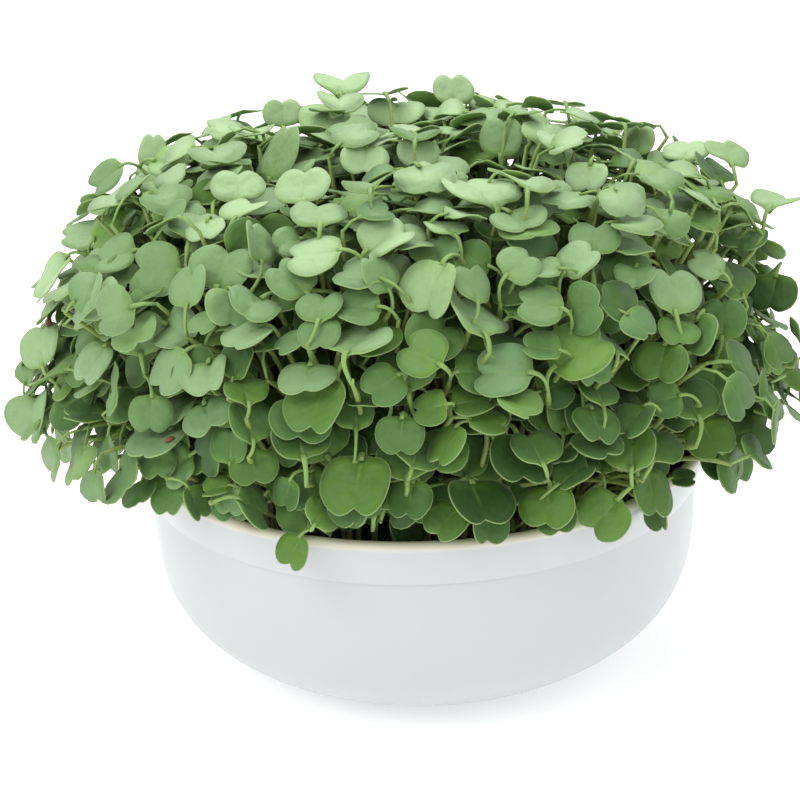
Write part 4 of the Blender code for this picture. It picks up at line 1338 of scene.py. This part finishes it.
moreLeaves = [seen(*row) for row in (
    (456, 426, 439, 456, 430, 436, 462, 445, "bright"),
    (467, 476, 462, 440, 443, 463, 488, 462),
    (487, 508, 489, 537, 470, 524, 507, 526),
    (352, 488, 350, 519, 330, 508, 370, 505),
    (230, 463, 231, 434, 209, 446, 246, 447),
    (254, 440, 246, 408, 225, 420, 270, 415),
    (158, 448, 157, 472, 134, 464, 171, 461),
    (190, 455, 167, 473, 165, 452, 182, 490, "pale"),
    (172, 484, 167, 509, 157, 498, 188, 498),
    (189, 488, 200, 513, 185, 508, 208, 496),
    (229, 485, 207, 489, 215, 473, 214, 494, "bright"),
    (234, 487, 229, 509, 214, 494, 245, 498, "pale"),
    (231, 485, 232, 514, 208, 500, 251, 497),
    (240, 498, 264, 512, 250, 487, 249, 531),
    (311, 470, 307, 503, 287, 487, 331, 490),
    (290, 480, 284, 503, 273, 484, 299, 497),
    (304, 457, 297, 425, 266, 446, 325, 440, "dark"),
    (303, 402, 299, 433, 264, 415, 328, 425),
    (249, 402, 243, 383, 226, 391, 270, 388, "olive"),
    (232, 378, 240, 350, 220, 356, 250, 365, "dark"),
    (310, 364, 305, 386, 278, 374, 338, 373, "pale"),
    (320, 320, 319, 343, 297, 333, 342, 330),
    (318, 320, 322, 297, 289, 312, 334, 308),
    (301, 334, 281, 347, 283, 335, 296, 351),
    (262, 325, 236, 340, 230, 328, 266, 340, "pale"),
    (212, 312, 199, 328, 186, 318, 214, 322),
    (106, 412, 72, 412, 85, 402, 85, 424, "dark"),
    (64, 420, 66, 455, 59, 445, 72, 443),
    (108, 434, 108, 466, 100, 452, 120, 450),
    (515, 362, 500, 335, 481, 343, 527, 350),
    (560, 350, 530, 346, 545, 333, 545, 360),
    (590, 350, 596, 378, 575, 368, 612, 362),
    (617, 351, 607, 337, 600, 320, 637, 344, "bluish"),
    (383, 398, 355, 394, 368, 384, 362, 412),
    (356, 428, 355, 402, 338, 418, 378, 413),
    (470, 418, 499, 425, 484, 411, 480, 438, "bright"),
    (518, 436, 524, 473, 489, 456, 552, 462, "dark"),
    (556, 505, 558, 528, 534, 525, 577, 517),
    (558, 484, 583, 465, 556, 463, 582, 489),
    (566, 447, 560, 459, 549, 455, 578, 452),
    (584, 432, 606, 452, 571, 447, 613, 434),
    (645, 405, 625, 428, 617, 415, 655, 425),
    (658, 495, 659, 524, 648, 512, 668, 508),
    (672, 478, 691, 478, 685, 467, 685, 487, "dark"),
    (715, 450, 722, 474, 698, 463, 737, 462),
    (738, 450, 742, 476, 729, 465, 749, 462),
    (680, 395, 656, 402, 662, 386, 675, 424),
    (697, 320, 689, 348, 664, 345, 714, 330),
    (187, 253, 219, 239, 200, 238, 212, 251),
    (262, 262, 256, 229, 243, 243, 271, 248),
    (301, 238, 281, 245, 272, 230, 290, 255),
    (232, 292, 232, 320, 200, 303, 256, 316),
    (320, 225, 318, 207, 288, 214, 346, 212),
    (389, 289, 372, 262, 362, 285, 388, 268),
    (379, 306, 345, 307, 362, 287, 362, 322),
    (360, 312, 377, 331, 352, 326, 388, 318),
    (478, 302, 470, 273, 458, 288, 494, 290),
    (436, 262, 436, 240, 411, 252, 463, 243),
    (455, 234, 440, 222, 428, 226, 467, 224, "bright"),
    (560, 268, 537, 270, 548, 260, 548, 277),
    (570, 312, 595, 306, 580, 281, 588, 335),
    (636, 266, 635, 281, 613, 272, 655, 270),
    (745, 228, 738, 243, 714, 234, 767, 243),
)]

# Leaves low in the shade of the front lip; their dark tone is painted shade.
shadeLeaves = [seen(*row) for row in (      # low inside the front lip, placed one by one
    (345, 507, 347, 534, 330, 520, 364, 521, "dark"),
    (378, 511, 374, 538, 358, 526, 392, 525, "dark"),
    (408, 508, 411, 537, 393, 523, 427, 523, "dark"),
)]

filling = {
    "layers": (                 # seedlings, depth below the canopy, from which share of it down
        (540, 16.0 * mm, 0.0),
        (240, 38.0 * mm, 0.0),
        (170, 30.0 * mm, 0.8),
    ),
    "trials": 12000,
    "width": (10.5 * mm, 15.0 * mm),
    "drift": 6.0 * mm,
    "raised": 7.0 * mm,         # heads may stand this far above the canopy
    "limit": 1.36,              # fullness that the fill leaves stay within
    "loose": 0.3,               # added to that at the waist
    "rootSpread": 6,            # mm
    "room": 1.05 * mm,          # between the points of two leaves
    "seenRoom": 1.3 * mm,
    "cell": 1.6 * mm,
    "overLip": 62.8 * mm,       # fill leaves beyond the wall's inside stay above this
    "inWall": (67.0 * mm, 52.0 * mm, 0.34),     # radius at a height, and its slope
    "lowest": 55.0 * mm,
    "pushes": 26,
    "openLip": (300, 700),      # pixels across the front view between which the lip shows
    "lipInside": 71.5 * mm,
    "sectors": 8,
    "sectorSeed": 100,
    "seed": 5,
    "shadeSeed": 7,
    "shadeFront": -65.0 * mm,   # how far to the front the leaves in the shade of the lip stand
}
bareStems = {
    "gap": (584, 474, 638, 520),            # in the front view: left, top, right, bottom
    "roots": ((581, 514), (592, 510), (602, 506), (611, 500)),
    "heads": ((622, 470), (627, 467), (634, 468), (641, 470)),
    "behind": 5.0 * mm,                     # their heads are this far behind the leaves
    "lean": Vector((0.5, 0, -0.1)),         # to the right and a little down
}
stemGrid = (0.3, 0.45, 0.6, 0.72, 0.82, 0.9)        # along a stem, where it is kept clear
pointGrid = [(a, c) for a in (0.1, 0.35, 0.6, 0.85) for c in (-0.42, -0.2, 0.0, 0.2, 0.42)
             if not (a in (0.1, 0.85) and abs(c) > 0.4)]
pointGrid += [(1.0, 0.26), (1.0, -0.26), (0.53, 0.5), (0.53, -0.5)]


def leafPoints(leaf):
    return np.array([leafPoint(leaf, a, c) for a, c in pointGrid])


def stemPoints(plant):
    return np.array([stemPoint(plant, t) for t in stemGrid])


taken = {}                  # points of the leaves and stems so far, by their cell


def cellOf(point):
    return tuple(int(v // filling["cell"]) for v in point)


def take(points):
    for point in points:
        taken.setdefault(cellOf(point), []).append(point)


def isClear(points, room):
    for point in points:
        x, y, z = cellOf(point)
        for cell in ((x + i, y + j, z + k) for i in (-1, 0, 1) for j in (-1, 0, 1)
                     for k in (-1, 0, 1)):
            if any(((other - point) ** 2).sum() < room ** 2 for other in taken.get(cell, ())):
                return False
    return True


def takePlant(plant):
    for leaf in plant["leaves"]:
        take(leafPoints(leaf))
    take(stemPoints(plant))


def leafOutline(leaf):
    edge = leafShape["edge"]
    return [leafPoint(leaf, a, c) for a, c in edge] + [leafPoint(leaf, a, -c)
                                                       for a, c in reversed(edge[1:-1])]


for tuft in tufts:
    for plant in tuft["plants"]:
        takePlant(plant)
seenPolygons = [leafOutline(leaf) for t in tufts for p in t["plants"]
                for leaf in p["leaves"] if leaf["tone"]]


def polygonTree():
    points = [tuple(p) for polygon in seenPolygons for p in polygon]
    faces = []
    for polygon in seenPolygons:
        start = sum(len(f) for f in faces)
        faces.append(list(range(start, start + len(polygon))))
    return BVHTree.FromPolygons(points, faces)


def onPicture(point):       # pixel of the front view
    away = point - viewEye
    depth = -away.dot(viewBack)
    middle = camera["picture"] / 2
    return (middle + away.dot(viewRight) / depth * viewFocus,
            middle - away.dot(viewUp) / depth * viewFocus)


def closesGap(points):      # over the gap at the front right where bare stems show
    left, top, right, bottom = bareStems["gap"]
    spots = (onPicture(Vector(point)) for point in points if point[1] < 0)
    return any(left < x < right and top < y < bottom for x, y in spots)


def hidesLip(points):       # where the lip shows in the front view
    low, high = filling["openLip"]
    for point in points[points[:, 2] > bowl["height"]]:
        away = Vector(point) - viewEye
        ahead = viewEye + away * ((bowl["height"] - viewEye.z) / away.z)
        over = ahead.y < 0 and ahead.xy.length > filling["lipInside"]
        if over and low < onPicture(Vector(point))[0] < high:
            return True
    return False


def hidesSeen(tree, points):
    return any(tree.ray_cast(Vector(point), (Vector(point) - viewEye).normalized())[0]
               for point in points)


def standsOut(points):      # past the canopy, which is looser low down at the sides
    for point in points:
        spare = filling["loose"] * (1 - min(1.0, canopyHeight(Vector(point))))
        if canopyFullness(Vector(point)) > filling["limit"] + spare:
            return True
    return False


def meetsBowl(points):
    level = np.hypot(points[:, 0], points[:, 1])
    radius, height, slope = filling["inWall"]
    inside = radius + np.clip(points[:, 2] - height, 0, None) * slope
    return bool(((points[:, 2] < filling["overLip"]) & (level > inside)).any())


def fieldRoot(rng, head):       # on the soil, inward of the head
    s = seedling
    reach = head.xy / s["leanOut"]
    spread = filling["rootSpread"]
    reach += Vector((rng.uniform(-spread, spread), rng.uniform(-spread, spread))) * mm
    if reach.length > s["rootField"]:
        reach *= s["rootField"] / reach.length
    return Vector((reach.x, reach.y, s["soilTop"] - s["stemSink"]))


def addMarked(rng, marks, distance):    # at that distance from the eye or behind it, where clear
    curl = (rng.uniform(*seedling["seenCup"]), rng.uniform(*seedling["seenSag"]))
    for push in range(filling["pushes"]):
        leaf = seenBlade(marks, distance + push * seedling["push"], curl)
        if isClear(leafPoints(leaf), filling["seenRoom"]):
            break
    else:
        return
    head = headOfLeaf(rng, leaf)
    startStalk(leaf, head)
    plant = {"root": fieldRoot(rng, head), "head": head, "leaves": [leaf], "fine": True,
             "arrive": (stemArrival(rng, head) + leaf["normal"]).normalized()}
    takePlant(plant)
    extra.append(plant)
    seenPolygons.append(leafOutline(leaf))


extra = []
rng = random.Random(filling["seed"])
for marks in left + moreLeaves:
    addMarked(rng, marks, canopyDistance(middleRay(marks)))
print("marked leaves added:", len(extra), "of", len(left) + len(moreLeaves))

seenTree = polygonTree()
marked = len(extra)
seedling["leafWidth"] = filling["width"]
seedling["headDrift"] = filling["drift"]
for wanted, depth, lowShare in filling["layers"]:
    seedling["headDepth"] = depth
    before = len(extra)
    for _ in range(filling["trials"]):
        if len(extra) - before >= wanted:
            break
        share, turn = rng.uniform(lowShare, 1.0), rng.uniform(0, 2 * pi)
        spot, facing = canopyPlace(table, share, turn)[:2]
        plant = freeSeedling(rng, spot, spot + facing * filling["raised"], facing)
        plant["root"] = fieldRoot(rng, plant["head"])
        if meetsBowl(stemPoints(plant)):
            continue
        kept = []
        for leaf in plant["leaves"]:
            points = leafPoints(leaf)
            if points[:, 2].min() < filling["lowest"] or standsOut(points) or meetsBowl(points):
                continue
            if closesGap(points) or hidesLip(points) or hidesSeen(seenTree, points):
                continue
            if isClear(points, filling["room"]):
                kept.append(leaf)
        if kept:
            plant["leaves"] = kept
            takePlant(plant)
            extra.append(plant)
print("fill seedlings:", len(extra) - marked)

before = len(extra)
rng = random.Random(filling["shadeSeed"])
for marks in shadeLeaves:
    ray = middleRay(marks)
    addMarked(rng, marks, (filling["shadeFront"] - viewEye.y) / ray.y)
print("leaves in the shade of the lip:", len(extra) - before, "of", len(shadeLeaves))

for low, high in zip(bareStems["roots"], bareStems["heads"]):
    ray = viewRay(low)
    root = viewEye + ray * ((seedling["soilTop"] - viewEye.z) / ray.z)
    if root.xy.length > seedling["rootField"]:
        root.xy = root.xy.normalized() * seedling["rootField"]
    ray = viewRay(high)
    head = viewEye + ray * (canopyDistance(ray) + bareStems["behind"])
    out = canopyFacing(head)[1]
    extra.append({"root": root, "head": head, "leaves": [], "fine": True,
                  "arrive": (out + bareStems["lean"]).normalized()})

for sector in range(filling["sectors"]):
    part = 2 * pi / filling["sectors"]
    inSector = [p for p in extra
                if int((atan2(p["head"].y, p["head"].x) % (2 * pi)) // part) == sector]
    makePiece(f"seedlingsSector{sector + 1}", inSector, filling["sectorSeed"] + sector)

# Small things: two seed hulls stuck to leaves, and first true leaves between some pairs

hulls = {
    "marks": ((38, 318), (172, 443)),
    "size": (2.6 * mm, 1.7 * mm, 1.3 * mm),
    "dark": "5C321C",
    "light": "98603E",
    "grain": 0.5,               # mm
}
buds = {
    "marks": ((543, 482), (402, 408), (345, 383)),
    "size": (1.0 * mm, 0.5 * mm, 2.8 * mm),
    "spread": radians(22),
    "lean": 0.5,                # towards the way the stem arrives
    "rise": 0.35,               # of a bud's height
    "within": 14,               # pixels from a seedling's head
    "dark": "7DA040",
    "light": "A3C262",
    "grain": 0.5,               # mm
}
eggShape = {"segments": 12, "rings": 8, "roughness": 0.6, "bump": (0.5, 0.1 * mm)}


def eggPiece(name, look, placed):       # rounded bodies, each with its place and size
    bodies = []
    for place, size in placed:
        bpy.ops.mesh.primitive_uv_sphere_add(segments=eggShape["segments"],
                                             ring_count=eggShape["rings"], radius=1.0)
        body = bpy.context.object
        bpy.ops.object.shade_smooth()
        body.data.transform(place @ Matrix.Diagonal((*[v / 2 for v in size], 1.0)))
        bodies.append(body)
    piece = joinPieces(*bodies)
    piece.name = name
    skin = newMaterial(name + "Skin")       # dry husk or soft young leaf, matt
    spot = addNode(skin, "ShaderNodeTexCoord").outputs["Object"]
    grain = addNode(skin, "ShaderNodeTexNoise",
                    {"Vector": spot, "Scale": 1 / (look["grain"] * mm)}).outputs["Fac"]
    colour = addNode(skin, "ShaderNodeMix", {
        0: grain, 6: hexColour(look["dark"]), 7: hexColour(look["light"]),
    }, data_type="RGBA").outputs[2]
    bump = addNode(skin, "ShaderNodeBump", {
        "Height": grain, "Strength": eggShape["bump"][0], "Distance": eggShape["bump"][1],
    })
    finishMaterial(skin, addNode(skin, "ShaderNodeBsdfPrincipled", {
        "Base Color": colour, "Roughness": eggShape["roughness"], "Normal": bump.outputs["Normal"],
    }))
    piece.data.materials.append(skin)
    endPiece(piece)


def offMark(plant, mark):   # squared distance in the front view, in pixels
    x, y = onPicture(plant["head"])
    return (x - mark[0]) ** 2 + (y - mark[1]) ** 2


leafTree = polygonTree()
placed = []
for mark in hulls["marks"]:
    ray = viewRay(mark)
    spot, normal = leafTree.find_nearest(viewEye + ray * canopyDistance(ray))[:2]
    turn = normal.to_track_quat("Z", "X").to_matrix().to_4x4()
    placed.append((Matrix.Translation(spot) @ turn, hulls["size"]))
eggPiece("seedHulls", hulls, placed)
placed = []
everyPlant = [p for t in tufts for p in t["plants"]] + [p for p in extra if p["leaves"]]
for mark in buds["marks"]:
    plant = min(everyPlant, key=lambda one: offMark(one, mark))
    if offMark(plant, mark) > buds["within"] ** 2:
        continue
    for side in (-1, 1):
        aim = plant["leaves"][0]["normal"] + plant["arrive"] * buds["lean"]
        tilt = Matrix.Rotation(side * buds["spread"], 3, "X")
        turn = aim.to_track_quat("Z", "X").to_matrix() @ tilt
        place = Matrix.Translation(plant["head"]) @ turn.to_4x4()
        place = place @ Matrix.Translation((0, 0, buds["size"][2] * buds["rise"]))
        placed.append((place, buds["size"]))
print("bud leaves placed:", len(placed))
if placed:
    eggPiece("trueLeafBuds", buds, placed)
for template in (fineLeaf, plainLeaf, fineStem, plainStem):
    bpy.data.objects.remove(template["object"])
print("all seedlings made")
